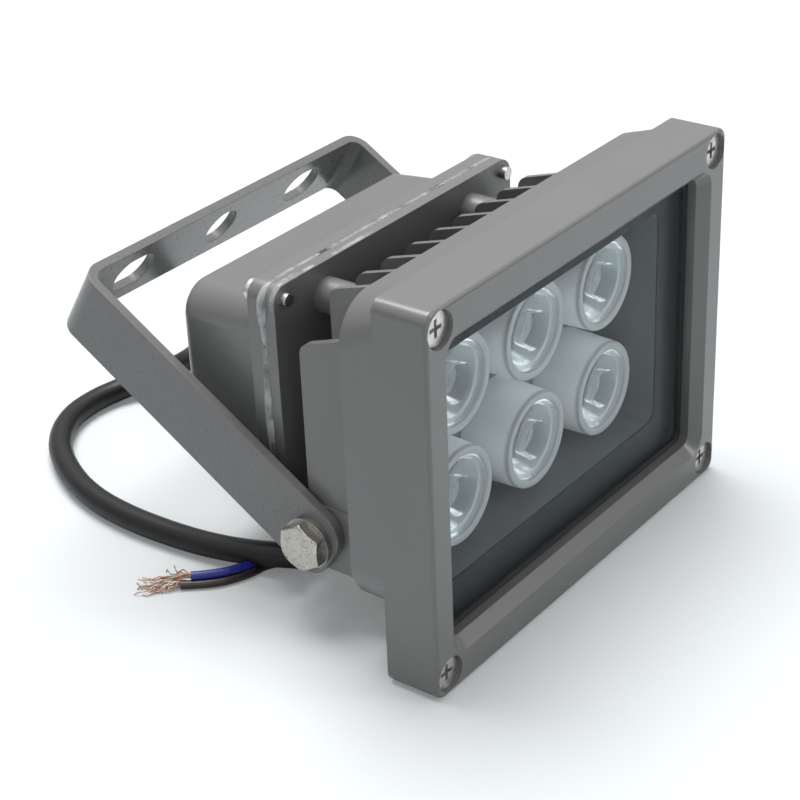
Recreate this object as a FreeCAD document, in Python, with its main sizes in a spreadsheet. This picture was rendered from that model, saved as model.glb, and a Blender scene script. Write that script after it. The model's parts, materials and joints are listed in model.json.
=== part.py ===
import FreeCAD, Part
import math
import os
import re
import Sketcher

# Infrared illuminator: a die-cast lamp head on a bent yoke, with a driver box on its back.
# All lengths are millimetres. Each piece is drawn with X across the lamp, Y running back
# from the front face of the bezel and Z up from the foot of the bezel.
# The part's own origin is the middle of the bezel's foot, half its depth behind that face.

Vector = FreeCAD.Vector

# Driving dimensions
SIZES = {
    # front bezel
    "bezel_width": 115.0,
    "bezel_height": 89.0,
    "bezel_depth": 13.0,
    "bezel_corner": 2.8,
    "bezel_edge_round": 1.0,
    "rail_width": 6.0,
    "rail_height": 7.7,
    "opening_corner": 5.0,
    "opening_bevel": 2.5,
    "lip_depth": 4.7,
    "window_wall": 3.2,
    "pocket_corner": 12.0,
    "flange_wall": 2.0,
    # countersunk screws of the bezel
    "bezel_screw_inset": 4.7,
    "bezel_screw_diameter": 3.5,
    "bezel_screw_length": 12.0,
    "bezel_screw_head": 7.4,
    "bezel_screw_head_height": 2.2,
    "bezel_screw_recess": 1.2,
    "bezel_screw_play": 0.35,
    "thread_play": 0.02,
    "cross_span": 3.9,
    "cross_width": 0.9,
    "cross_depth": 1.3,
    # seal, pane and mask
    "seal_play": 0.2,
    "seal_wall": 2.1,
    "seal_leg": 0.8,
    "seal_show": 1.4,
    "pane_thickness": 3.0,
    "mask_thickness": 0.5,
    "mask_border_width": 8.3,
    "mask_border_height": 9.7,
    "mask_window_corner": 3.0,
    # lamp housing with its fins
    "flange_play": 0.2,
    "flange_corner": 3.0,
    "rim_step": 0.2,
    "rim_top_step": 0.5,
    "rim_drop": 2.7,
    "rim_bottom": 14.5,
    "rim_depth": 8.5,
    "rim_top_corner": 10.0,
    "rim_bottom_corner": 12.0,
    "core_inset": 11.0,
    "core_drop": 15.0,
    "core_depth": 8.0,
    "core_corner": 4.0,
    "casting_wall": 2.5,
    "floor_thickness": 2.0,
    "fin_count": 9,
    "fin_margin": 11.5,
    "fin_thickness": 1.5,
    "fin_reach": 11.5,
    "fin_drop_front": 7.6,
    "fin_drop_back": 13.5,
    "fin_corner": 3.0,
    "side_fin_thickness": 2.0,
    "side_fin_drop_front": 15.2,
    "side_fin_drop_back": 21.9,
    # pivot bosses and posts of the housing
    "boss_width": 14.0,
    "boss_height": 15.5,
    "boss_reach": 16.5,
    "boss_corner": 5.0,
    "pivot_reach": 9.5,
    "pivot_height": 7.3,
    "post_inset": 17.0,
    "post_drop": 7.7,
    "post_diameter": 8.0,
    "post_reach": 20.0,
    "duct_diameter": 10.0,
    "duct_bore": 5.0,
    # lamps
    "holder_front": 4.4,
    "holder_gap": 4.45,
    "holder_flare": 0.4,
    "holder_rim": 2.0,
    "lens_recess": 0.4,
    "lens_rim": 1.4,
    "lens_ledge": 0.9,
    "lens_depth": 10.6,
    "lens_front_well_depth": 3.2,
    "lens_rear_well_depth": 4.2,
    "lens_play": 0.05,
    "chip_base": 6.6,
    "chip_base_height": 0.9,
    "chip_dome": 3.2,
    "board_thickness": 1.5,
    "board_play": 0.4,
    # rear plate, gasket and driver box
    "plate_inset": 13.8,
    "plate_drop": 12.8,
    "plate_corner": 4.0,
    "plate_thickness": 3.0,
    "gasket_thickness": 1.0,
    "box_flange": 3.5,
    "box_inset": 1.6,
    "box_drop": 5.9,
    "box_depth": 22.6,
    "box_draft_width": 1.3,
    "box_draft_height": 1.9,
    "box_corner": 7.5,
    "box_edge_round": 3.0,
    "box_wall": 2.2,
    "box_screw_inset": 3.2,
    "box_screw_diameter": 3.0,
    "box_screw_length": 9.1,
    "box_screw_head": 5.4,
    "box_screw_head_height": 1.9,
    "box_screw_play": 0.2,
    "plate_screw_diameter": 3.5,
    "plate_screw_length": 10.0,
    "plate_screw_head": 6.6,
    "plate_screw_head_height": 1.8,
    "sealant_width": 0.9,
    "sealant_length": 2.8,
    # driver
    "driver_side_gap": 8.6,
    "driver_end_gap": 2.7,
    "driver_thickness": 1.6,
    "driver_screw_inset": 3.5,
    "driver_post": 5.0,
    "driver_gap": 2.5,
    "coil_width": 19.0,
    "coil_height": 22.0,
    "coil_depth": 13.0,
    "coil_x": 12.0,
    "can_diameter": 10.0,
    "can_length": 14.0,
    "can_x": -14.0,
    "lead_diameter": 1.6,
    "lead_spacing": 2.2,
    # cable gland
    "gland_height": 34.0,
    "gland_thread": 12.0,
    "gland_hex": 15.0,
    "gland_hex_length": 4.0,
    "gland_nut_length": 9.5,
    "gland_nut_wall": 1.6,
    "gland_bush": 8.6,
    "gland_bush_proud": 0.5,
    # yoke
    "yoke_gap": 3.4,
    "strip_thickness": 2.2,
    "strip_width": 17.2,
    "yoke_end": 6.3,
    "yoke_end_corner": 6.0,
    "yoke_bend": 5.0,
    "yoke_reach": 77.9,
    "yoke_tilt": 31.8,
    "yoke_play": 0.1,
    "yoke_hole": 10.0,
    "yoke_hole_spacing": 30.3,
    "yoke_slot_length": 12.6,
    "yoke_slot_width": 9.6,
    # pivot bolts
    "bolt_diameter": 6.0,
    "bolt_play": 0.08,
    "bolt_length": 16.0,
    "bolt_hex": 10.0,
    "bolt_head_height": 3.0,
    "washer_play": 0.3,
    "spring_washer_diameter": 11.8,
    "spring_washer_thickness": 1.3,
    "spring_washer_split": 1.0,
    # supply cord
    "cord_diameter": 6.0,
    "core_diameter": 2.1,
    "strand_diameter": 0.5,
}

# Places and sizes that follow from the driving dimensions
RULES = {
    "middle": "bezel_height / 2",
    "opening_width": "bezel_width - 2 * rail_width",
    "opening_height": "bezel_height - 2 * rail_height",
    "mask_window_width": "opening_width - 2 * mask_border_width",
    "mask_window_height": "opening_height - 2 * mask_border_height",
    "throat_width": "opening_width - 2 * opening_bevel",
    "throat_height": "opening_height - 2 * opening_bevel",
    "throat_corner": "opening_corner - opening_bevel",
    "pane_front": "lip_depth + seal_leg",
    "mask_front": "pane_front + pane_thickness",
    "flange_front": "mask_front + mask_thickness",
    "pocket_width": "bezel_width - 2 * window_wall",
    "pocket_height": "bezel_height - 2 * window_wall",
    "seal_width": "pocket_width - 2 * seal_play",
    "seal_height": "pocket_height - 2 * seal_play",
    "pane_width": "seal_width - 2 * seal_wall",
    "pane_height": "seal_height - 2 * seal_wall",
    "flange_pocket": "bezel_width / 2 - flange_wall",
    "flange_pocket_up": "middle - flange_wall",
    "flange_half": "flange_pocket - flange_play",
    "flange_half_up": "flange_pocket_up - flange_play",
    "screw_across": "bezel_width / 2 - bezel_screw_inset",
    "screw_up": "bezel_height / 2 - bezel_screw_inset",
    "rim_half": "bezel_width / 2 - rim_step",
    "rim_top": "bezel_height - rim_top_step",
    "rim_back": "bezel_depth + rim_depth",
    "core_back": "rim_back + core_depth",
    "core_width": "bezel_width - 2 * core_inset",
    "core_top": "bezel_height - core_drop",
    "fin_pitch": "(core_width - 2 * fin_margin) / (fin_count - 1)",
    "fin_top_front": "bezel_height - fin_drop_front",
    "fin_top_back": "bezel_height - fin_drop_back",
    "side_fin_top_front": "bezel_height - side_fin_drop_front",
    "side_fin_top_back": "bezel_height - side_fin_drop_back",
    "cavity_half": "core_width / 2 - casting_wall",
    "cavity_bottom": "rim_bottom + casting_wall",
    "cavity_top": "core_top - casting_wall",
    "cavity_floor": "core_back - floor_thickness",
    "fin_back": "core_back + fin_reach",
    "boss_face": "yoke_width / 2 - strip_thickness - yoke_play",
    "boss_back": "core_back + boss_reach",
    "pivot_back": "core_back + pivot_reach",
    "pivot_up": "rim_bottom + pivot_height",
    "post_spacing": "plate_width - 2 * post_inset",
    "post_height": "plate_height - 2 * post_drop",
    "post_back": "core_back + post_reach",
    "plate_width": "bezel_width - 2 * plate_inset",
    "plate_height": "bezel_height - 2 * plate_drop",
    "plate_back": "post_back + plate_thickness",
    "gasket_back": "plate_back + gasket_thickness",
    "flange_back": "gasket_back + box_flange",
    "box_width": "plate_width - 2 * box_inset",
    "box_height": "plate_height - 2 * box_drop",
    "box_back_width": "box_width - 2 * box_draft_width",
    "box_back_height": "box_height - 2 * box_draft_height",
    "box_back": "flange_back + box_depth",
    "box_floor": "box_back - box_wall",
    "corner_across": "plate_width / 2 - box_screw_inset",
    "corner_up": "plate_height / 2 - box_screw_inset",
    "board_front": "cavity_floor - board_thickness",
    "lens_pitch_across": "cavity_half * 0.65",
    "lens_pitch_up": "(cavity_top - cavity_bottom) / 2",
    "lens_front": "flange_front + holder_front + lens_recess",
    "holder_diameter": "lens_pitch_up - holder_gap",
    "holder_length": "board_front - flange_front - holder_front",
    "holder_bore": "holder_diameter / 2 - holder_rim",
    "lens_tail": "holder_bore * 0.915",
    "lens_front_well": "holder_bore * 0.957",
    "lens_rear_well": "holder_bore * 0.66",
    "driver_width": "box_back_width - 2 * box_wall - 2 * driver_side_gap",
    "driver_height": "box_back_height - 2 * box_wall - 2 * driver_end_gap",
    "driver_front": "plate_back + gasket_thickness + driver_gap",
    "driver_back": "driver_front + driver_thickness",
    "gland_end": "box_back + gland_hex_length + gland_nut_length",
    "cord_exit": "gland_end + gland_bush_proud",
    "yoke_width": "plate_width + 2 * (yoke_gap + strip_thickness)",
    "bolt_seat": "yoke_width / 2 + spring_washer_thickness",
}

doc = FreeCAD.newDocument("infrared_illuminator")
sheet = doc.addObject("Spreadsheet::Sheet", "Sizes")
for row, (alias, number) in enumerate(SIZES.items(), start=1):
    sheet.set("A%d" % row, alias)
    sheet.set("B%d" % row, str(number))
    sheet.setAlias("B%d" % row, alias)
doc.recompute()


def linked(formula):
    """Write a formula of size and rule names with the sheet's own cells in it."""
    def cell(match):
        word = match.group(0)
        if word in SIZES:
            return "Sizes." + word
        if word in RULES:
            return "(" + linked(RULES[word]) + ")"
        return word
    return re.sub(r"[a-z][a-z_]*", cell, str(formula))


def value(formula):
    """Work a formula out to a number of millimetres or degrees."""
    return float(sheet.evalExpression(linked(formula)))


def bind(feature, name, formula):
    """Tie one property of a feature to the sheet."""
    feature.setExpression(name, linked(formula))


# Ways to turn a piece that is drawn upright, along its own Z
UPRIGHT = FreeCAD.Rotation()
BACKWARD = FreeCAD.Rotation(Vector(1, 0, 0), -90)
FORWARD = FreeCAD.Rotation(Vector(1, 0, 0), 90)
RIGHTWARD = FreeCAD.Rotation(Vector(0, 1, 0), 90)
LEFTWARD = FreeCAD.Rotation(Vector(0, 1, 0), -90)

PIECES = []


def place(piece, x="0", y="0", z="0", turn=UPRIGHT):
    """Put a piece at a place counted from the front face and the foot of the bezel."""
    piece.Placement = FreeCAD.Placement(Vector(0, 0, 0), turn)
    bind(piece, "Placement.Base.x", x)
    bind(piece, "Placement.Base.y", "(%s) - bezel_depth / 2" % y)
    bind(piece, "Placement.Base.z", z)


def new_body(name, x="0", y="0", z="0", turn=UPRIGHT):
    """Start the body of one piece."""
    body = doc.addObject("PartDesign::Body", name)
    body.Label = name
    place(body, x, y, z, turn)
    PIECES.append(body)
    return body


def origin_of(body, role):
    """Find one of the body's own planes or axes."""
    return next(item for item in body.Origin.OriginFeatures if item.Role == role)


def drawing_on(body, role, offset="0"):
    """Start a sketch on one of the body's planes, moved along the plane's normal."""
    drawing = body.newObject("Sketcher::SketchObject", "Drawing")
    drawing.AttachmentSupport = (origin_of(body, role), [""])
    drawing.MapMode = "FlatFace"
    bind(drawing, "AttachmentOffset.Base.z", offset)
    return drawing


def front_drawing(body, y):
    """Start a sketch that faces the front, at a distance behind the bezel's face."""
    return drawing_on(body, "XZ_Plane", "-(%s)" % y)


def limit(drawing, kind, formula, *places):
    """Add a constraint whose size follows the sheet."""
    number = value(formula)
    index = drawing.addConstraint(Sketcher.Constraint(kind, *places, number))
    drawing.setExpression("Constraints[%d]" % index, linked(formula))


def fix_point(drawing, geometry, end, x, y):
    """Hold one point of a sketch at a place counted from the sketch's origin."""
    limit(drawing, "DistanceX", x, -1, 1, geometry, end)
    limit(drawing, "DistanceY", y, -1, 1, geometry, end)


def corner_arc(before, corner, after, radius):
    """Find where the round of a corner starts and ends, its centre, and if it turns left."""
    inward = (before - corner).normalize()
    onward = (after - corner).normalize()
    half = inward.getAngle(onward) / 2
    reach = radius / math.tan(half)
    centre = corner + (inward + onward).normalize() * (radius / math.sin(half))
    turns_left = inward.cross(onward).z < 0
    return corner + inward * reach, corner + onward * reach, centre, turns_left


def outline(drawing, corners):
    """Draw a closed line through corners (x, y), or (x, y, radius) where one is rounded."""
    points = [Vector(value(corner[0]), value(corner[1]), 0) for corner in corners]
    rounds = []
    for index, corner in enumerate(corners):
        after = points[(index + 1) % len(points)]
        if len(corner) == 3:
            arc = corner_arc(points[index - 1], points[index], after, value(corner[2]))
        else:
            arc = (points[index], points[index], None, True)
        rounds.append(arc)
    sides = []
    for index, arc in enumerate(rounds):
        goal = rounds[(index + 1) % len(rounds)][0]
        sides.append(drawing.addGeometry(Part.LineSegment(arc[1], goal), False))
    for index, corner in enumerate(corners):
        incoming, outgoing = sides[index - 1], sides[index]
        if len(corner) == 2:
            drawing.addConstraint(Sketcher.Constraint("Coincident", incoming, 2, outgoing, 1))
            fix_point(drawing, outgoing, 1, corner[0], corner[1])
            continue
        start, end, centre, turns_left = rounds[index]
        angles = [math.atan2(point.y - centre.y, point.x - centre.x) for point in (start, end)]
        if not turns_left:
            angles.reverse()
        if angles[1] < angles[0]:
            angles[1] += 2 * math.pi
        circle = Part.Circle(centre, Vector(0, 0, 1), value(corner[2]))
        arc = drawing.addGeometry(Part.ArcOfCircle(circle, angles[0], angles[1]), False)
        first, last = (1, 2) if turns_left else (2, 1)
        drawing.addConstraint(Sketcher.Constraint("Tangent", incoming, 2, arc, first))
        drawing.addConstraint(Sketcher.Constraint("Tangent", arc, last, outgoing, 1))
        limit(drawing, "Radius", corner[2], arc)
        tip = drawing.addGeometry(Part.Point(points[index]), True)
        drawing.addConstraint(Sketcher.Constraint("PointOnObject", tip, 1, incoming))
        drawing.addConstraint(Sketcher.Constraint("PointOnObject", tip, 1, outgoing))
        fix_point(drawing, tip, 1, corner[0], corner[1])


def rectangle(drawing, left, right, bottom, top, radius=None, top_radius=None):
    """Draw a rectangle, with one radius below and, if it differs, another above."""
    low = (radius,) if radius else ()
    high = (top_radius,) if top_radius else low
    outline(drawing, [(left, bottom) + low, (right, bottom) + low,
                      (right, top) + high, (left, top) + high])


def centred_rectangle(drawing, width, height, radius, centre="middle"):
    """Draw a rounded rectangle about X 0 and a height."""
    rectangle(drawing, "-(%s) / 2" % width, "(%s) / 2" % width,
              "%s - (%s) / 2" % (centre, height), "%s + (%s) / 2" % (centre, height), radius)


def circle(drawing, x, y, diameter):
    """Draw one circle."""
    centre = Vector(value(x), value(y), 0)
    ring = drawing.addGeometry(Part.Circle(centre, Vector(0, 0, 1), value(diameter) / 2), False)
    fix_point(drawing, ring, 3, x, y)
    limit(drawing, "Radius", "(%s) / 2" % diameter, ring)


def four_circles(drawing, across, up, diameter, centre="middle"):
    """Draw a circle at each corner of a pattern, given by half its width and height."""
    for side in ("-", "+"):
        for level in ("-", "+"):
            circle(drawing, "%s(%s)" % (side, across), "%s %s (%s)" % (centre, level, up), diameter)


def pad(drawing, length, reverse=False, kind="One side"):
    """Raise a sketch into a solid."""
    body = drawing.getParentGeoFeatureGroup()
    feature = body.newObject("PartDesign::Pad", "Pad")
    feature.Profile = drawing
    feature.SideType = kind
    bind(feature, "Length", length)
    feature.Reversed = reverse
    return feature


def pocket(drawing, length=None, reverse=False, kind="One side"):
    """Cut a sketch out of its body, to a depth or right through."""
    body = drawing.getParentGeoFeatureGroup()
    feature = body.newObject("PartDesign::Pocket", "Pocket")
    feature.Profile = drawing
    feature.SideType = kind
    if length:
        bind(feature, "Length", length)
    else:
        feature.Type = "ThroughAll"
    feature.Reversed = reverse
    return feature


def loft(first, second, cut=False):
    """Join or cut a solid that changes from one sketch to the next."""
    body = first.getParentGeoFeatureGroup()
    kind = "PartDesign::SubtractiveLoft" if cut else "PartDesign::AdditiveLoft"
    feature = body.newObject(kind, "Loft")
    feature.Profile = first
    feature.Sections = [second]
    feature.Ruled = True
    return feature


def mirrored(body, originals, role="YZ_Plane"):
    """Repeat features on the other side of one of the body's planes."""
    feature = body.newObject("PartDesign::Mirrored", "Mirrored")
    feature.Originals = originals
    feature.MirrorPlane = (origin_of(body, role), [""])
    body.Tip = feature
    return feature


def fillet(body, radius, wanted):
    """Round the edges of the body whose middle point and direction are wanted."""
    doc.recompute()
    base = body.Tip
    names = []
    for number, edge in enumerate(base.Shape.Edges, start=1):
        middle = edge.valueAt((edge.FirstParameter + edge.LastParameter) / 2)
        if wanted(edge, middle):
            names.append("Edge%d" % number)
    feature = body.newObject("PartDesign::Fillet", "Fillet")
    feature.Base = (base, names)
    bind(feature, "Radius", radius)
    return feature


def turned(name, profile, x="0", y="0", z="0", turn=UPRIGHT):
    """Turn a profile of (radius, height) corners about the piece's own Z."""
    body = new_body(name, x, y, z, turn)
    drawing = drawing_on(body, "XZ_Plane")
    outline(drawing, profile)
    feature = body.newObject("PartDesign::Revolution", "Turning")
    feature.Profile = drawing
    feature.ReferenceAxis = (drawing, ["V_Axis"])
    return body


def hexagon(drawing, across_flats):
    """Draw a hexagon about the sketch's origin."""
    corners = []
    for step in range(6):
        angle = 60 * step
        corners.append(("(%s) / sqrt(3) * cos(%d)" % (across_flats, angle),
                        "(%s) / sqrt(3) * sin(%d)" % (across_flats, angle)))
    outline(drawing, corners)


def chamfer_hexagon(body, across_flats, top):
    """Take the corners off the top of a hexagon, as a turned bevel does."""
    drawing = drawing_on(body, "XZ_Plane")
    outline(drawing, [("(%s) * 0.47" % across_flats, top),
                      ("(%s) * 0.65" % across_flats, top),
                      ("(%s) * 0.65" % across_flats, "%s - (%s) * 0.1" % (top, across_flats))])
    feature = body.newObject("PartDesign::Groove", "Bevel")
    feature.Profile = drawing
    feature.ReferenceAxis = (drawing, ["V_Axis"])


def cross_recess(body, top="0"):
    """Sink a Phillips cross into a screw's head."""
    arm, half = "cross_span / 2", "cross_width / 2"
    drawing = drawing_on(body, "XY_Plane", top)
    outline(drawing, [(arm, "-" + half), (arm, half), (half, half), (half, arm),
                      ("-" + half, arm), ("-" + half, half), ("-" + arm, half),
                      ("-" + arm, "-" + half), ("-" + half, "-" + half),
                      ("-" + half, "-" + arm), (half, "-" + arm), (half, "-" + half)])
    pocket(drawing, "cross_depth")


def corners_of(across, up, centre="middle"):
    """List the four corners of a screw pattern as places."""
    places = []
    for level in ("+", "-"):
        for side in ("-", "+"):
            places.append(("%s(%s)" % (side, across), "%s %s (%s)" % (centre, level, up)))
    return places


def front_bezel():
    """Cast frame: bevelled opening, pocket for the pane and its seal, four screw corners."""
    body = new_body("front_bezel")
    face = front_drawing(body, "0")
    centred_rectangle(face, "bezel_width", "bezel_height", "bezel_corner")
    pad(face, "bezel_depth", reverse=True)
    fillet(body, "bezel_edge_round", lambda edge, middle: middle.y < 0.01)
    mouth = front_drawing(body, "0")
    centred_rectangle(mouth, "opening_width", "opening_height", "opening_corner")
    throat = front_drawing(body, "opening_bevel")
    centred_rectangle(throat, "throat_width", "throat_height", "throat_corner")
    loft(mouth, throat, cut=True)
    hole = front_drawing(body, "0")
    centred_rectangle(hole, "throat_width", "throat_height", "throat_corner")
    pocket(hole)
    seat = front_drawing(body, "lip_depth")
    centred_rectangle(seat, "pocket_width", "pocket_height", "pocket_corner")
    pocket(seat, "bezel_depth")
    back = front_drawing(body, "flange_front")
    centred_rectangle(back, "2 * flange_pocket", "2 * flange_pocket_up",
                      "flange_corner + flange_play")
    pocket(back, "bezel_depth")
    shanks = front_drawing(body, "0")
    four_circles(shanks, "screw_across", "screw_up", "bezel_screw_diameter + bezel_screw_play")
    pocket(shanks)
    for x, z in corners_of("screw_across", "screw_up"):
        sink = body.newObject("PartDesign::SubtractiveCone", "Countersink")
        bind(sink, "Radius1", "bezel_screw_head / 2 + bezel_screw_play")
        bind(sink, "Radius2", "bezel_screw_diameter / 2 + bezel_screw_play / 2")
        bind(sink, "Height", "bezel_screw_head_height")
        sink.Placement = FreeCAD.Placement(Vector(0, 0, 0), BACKWARD)
        bind(sink, "Placement.Base.x", x)
        bind(sink, "Placement.Base.y", "bezel_screw_recess")
        bind(sink, "Placement.Base.z", z)
        mouth = body.newObject("PartDesign::SubtractiveCylinder", "Counterbore")
        bind(mouth, "Radius", "bezel_screw_head / 2 + bezel_screw_play")
        bind(mouth, "Height", "bezel_screw_recess")
        mouth.Placement = FreeCAD.Placement(Vector(0, 0, 0), BACKWARD)
        bind(mouth, "Placement.Base.x", x)
        bind(mouth, "Placement.Base.z", z)


def window():
    """Rubber seal round the pane's edge, the pane, and the dark border printed behind it."""
    seal = new_body("glass_seal")
    outer = front_drawing(seal, "lip_depth")
    centred_rectangle(outer, "seal_width", "seal_height", "pocket_corner - seal_play")
    pad(outer, "flange_front - lip_depth", reverse=True)
    inner = front_drawing(seal, "lip_depth")
    centred_rectangle(inner, "throat_width - 2 * seal_show", "throat_height - 2 * seal_show",
                      "throat_corner")
    pocket(inner)
    groove = front_drawing(seal, "pane_front")
    centred_rectangle(groove, "pane_width", "pane_height",
                      "pocket_corner - seal_play - seal_wall")
    pocket(groove, "bezel_depth")
    pane = new_body("glass_pane")
    face = front_drawing(pane, "pane_front")
    centred_rectangle(face, "pane_width", "pane_height", "pocket_corner - seal_play - seal_wall")
    pad(face, "pane_thickness", reverse=True)
    mask = new_body("window_mask")
    border = front_drawing(mask, "mask_front")
    centred_rectangle(border, "pane_width", "pane_height",
                      "pocket_corner - seal_play - seal_wall")
    pad(border, "mask_thickness", reverse=True)
    clear = front_drawing(mask, "mask_front")
    centred_rectangle(clear, "mask_window_width", "mask_window_height", "mask_window_corner")
    pocket(clear)


def heat_sink_housing():
    """Cast lamp head: flange, sloping rim, finned core, pivot bosses and rear posts."""
    body = new_body("heat_sink_housing")
    flange = front_drawing(body, "flange_front")
    centred_rectangle(flange, "2 * flange_half", "2 * flange_half_up", "flange_corner")
    pad(flange, "bezel_depth - flange_front", reverse=True)
    rim = front_drawing(body, "bezel_depth")
    rectangle(rim, "-rim_half", "rim_half", "rim_bottom", "rim_top",
              "rim_bottom_corner", "rim_top_corner")
    rim_end = front_drawing(body, "rim_back")
    rectangle(rim_end, "-rim_half", "rim_half", "rim_bottom", "rim_top - rim_drop",
              "rim_bottom_corner", "rim_top_corner")
    loft(rim, rim_end)
    core = front_drawing(body, "bezel_depth")
    rectangle(core, "-core_width / 2", "core_width / 2", "rim_bottom", "core_top", "core_corner")
    pad(core, "rim_depth + core_depth", reverse=True)
    # nine cooling fins, one drawn and the rest in a row
    fin = drawing_on(body, "YZ_Plane", "-fin_pitch * (fin_count - 1) / 2 - fin_thickness / 2")
    outline(fin, [("bezel_depth", "rim_bottom"), ("fin_back", "rim_bottom", "fin_corner"),
                  ("fin_back", "fin_top_back", "fin_corner"), ("rim_back", "fin_top_front"),
                  ("bezel_depth", "fin_top_front")])
    blade = pad(fin, "fin_thickness")
    row = body.newObject("PartDesign::LinearPattern", "FinRow")
    row.Originals = [blade]
    row.Direction = (origin_of(body, "X_Axis"), [""])
    bind(row, "Length", "fin_pitch * (fin_count - 1)")
    bind(row, "Occurrences", "fin_count")
    body.Tip = row
    # a wider fin closes each side above the pivot boss
    side = drawing_on(body, "YZ_Plane", "core_width / 2 - side_fin_thickness")
    outline(side, [("bezel_depth", "rim_bottom"), ("fin_back", "rim_bottom"),
                   ("fin_back", "side_fin_top_back", "fin_corner"),
                   ("rim_back", "side_fin_top_front"), ("bezel_depth", "side_fin_top_front")])
    side_fin = pad(side, "side_fin_thickness")
    boss = drawing_on(body, "YZ_Plane", "boss_face - boss_width")
    outline(boss, [("bezel_depth", "rim_bottom"), ("boss_back", "rim_bottom", "boss_corner"),
                   ("boss_back", "rim_bottom + boss_height", "boss_corner"),
                   ("bezel_depth", "rim_bottom + boss_height")])
    boss_pad = pad(boss, "boss_width")
    mirrored(body, [side_fin, boss_pad])
    posts = front_drawing(body, "bezel_depth")
    four_circles(posts, "post_spacing / 2", "post_height / 2", "post_diameter")
    circle(posts, "0", "middle", "duct_diameter")
    pad(posts, "post_back - bezel_depth", reverse=True)
    cavity = front_drawing(body, "0")
    rectangle(cavity, "-cavity_half", "cavity_half", "cavity_bottom", "cavity_top", "core_corner")
    pocket(cavity, "cavity_floor")
    duct = front_drawing(body, "0")
    circle(duct, "0", "middle", "duct_bore")
    pocket(duct)
    pivots = drawing_on(body, "YZ_Plane")
    circle(pivots, "pivot_back", "pivot_up", "bolt_diameter + 2 * thread_play")
    pocket(pivots, "2 * boss_face", kind="Symmetric")
    screws = front_drawing(body, "0")
    four_circles(screws, "screw_across", "screw_up", "bezel_screw_diameter + 2 * thread_play")
    pocket(screws, "bezel_screw_recess + bezel_screw_length + thread_play")
    threads = front_drawing(body, "plate_back - plate_screw_length")
    four_circles(threads, "post_spacing / 2", "post_height / 2",
                 "plate_screw_diameter + 2 * thread_play")
    pocket(threads, "plate_screw_length")


def lamps():
    """Light board with six chips, each under a clear collimator in a white holder."""
    board = new_body("led_board")
    face = front_drawing(board, "board_front")
    rectangle(face, "board_play - cavity_half", "cavity_half - board_play",
              "cavity_bottom + board_play", "cavity_top - board_play", "core_corner")
    pad(face, "board_thickness", reverse=True)
    number = 0
    for level in ("+", "-"):
        for column in (-1, 0, 1):
            number += 1
            x = "%d * lens_pitch_across" % column
            z = "middle %s lens_pitch_up / 2" % level
            turned("led_%d" % number, [
                ("0", "0"), ("chip_base / 2", "0"), ("chip_base / 2", "chip_base_height"),
                ("chip_dome / 2", "chip_base_height"),
                ("chip_dome / 2", "chip_base_height + chip_dome * 0.45", "chip_dome * 0.3"),
                ("0", "chip_base_height + chip_dome * 0.5")], x, "board_front", z, FORWARD)
            turned("lens_holder_%d" % number, [
                ("holder_diameter / 2 + holder_flare - holder_rim", "0"),
                ("holder_diameter / 2 + holder_flare", "0"),
                ("holder_diameter / 2", "holder_length", "0.4"),
                ("holder_bore", "holder_length"),
                ("holder_bore", "holder_length - lens_recess - lens_rim"),
                ("holder_bore - lens_ledge", "holder_length - lens_recess - lens_rim")],
                x, "board_front", z, FORWARD)
            turned("lens_%d" % number, [
                ("0", "-lens_front_well_depth"),
                ("lens_front_well * 0.46", "-lens_front_well_depth"),
                ("lens_front_well / 2", "0"),
                ("holder_bore - lens_play", "0"),
                ("holder_bore - lens_play", "-lens_rim"),
                ("holder_bore - lens_ledge - 5 * lens_play", "-lens_rim"),
                ("lens_tail * 0.84", "-lens_depth * 0.72", "8"),
                ("lens_tail / 2", "-lens_depth"),
                ("lens_rear_well / 2", "-lens_depth"),
                ("lens_rear_well * 0.46", "lens_rear_well_depth - lens_depth"),
                ("0", "lens_rear_well_depth - lens_depth + 0.6")],
                x, "lens_front", z, FORWARD)


def rear_plate():
    """Plate on the housing's posts, with a countersunk screw into each post."""
    body = new_body("rear_plate")
    face = front_drawing(body, "post_back")
    centred_rectangle(face, "plate_width", "plate_height", "plate_corner")
    pad(face, "plate_thickness", reverse=True)
    holes = front_drawing(body, "0")
    four_circles(holes, "corner_across", "corner_up", "box_screw_diameter + 2 * thread_play")
    four_circles(holes, "post_spacing / 2", "post_height / 2",
                 "plate_screw_diameter + box_screw_play")
    circle(holes, "0", "middle", "duct_bore")
    pocket(holes)
    number = 0
    for x, z in corners_of("post_spacing / 2", "post_height / 2"):
        number += 1
        sink = body.newObject("PartDesign::SubtractiveCone", "Countersink")
        bind(sink, "Radius1", "(plate_screw_head + box_screw_play) / 2")
        bind(sink, "Radius2", "(plate_screw_diameter + box_screw_play) / 2")
        bind(sink, "Height", "plate_screw_head_height")
        sink.Placement = FreeCAD.Placement(Vector(0, 0, 0), FORWARD)
        bind(sink, "Placement.Base.x", x)
        bind(sink, "Placement.Base.y", "plate_back")
        bind(sink, "Placement.Base.z", z)
        screw = turned("plate_screw_%d" % number, [
            ("0", "0"), ("plate_screw_head / 2", "0"),
            ("plate_screw_diameter / 2", "-plate_screw_head_height"),
            ("plate_screw_diameter / 2", "-plate_screw_length"), ("0", "-plate_screw_length")],
            x, "plate_back", z, BACKWARD)
        cross_recess(screw)


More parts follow.
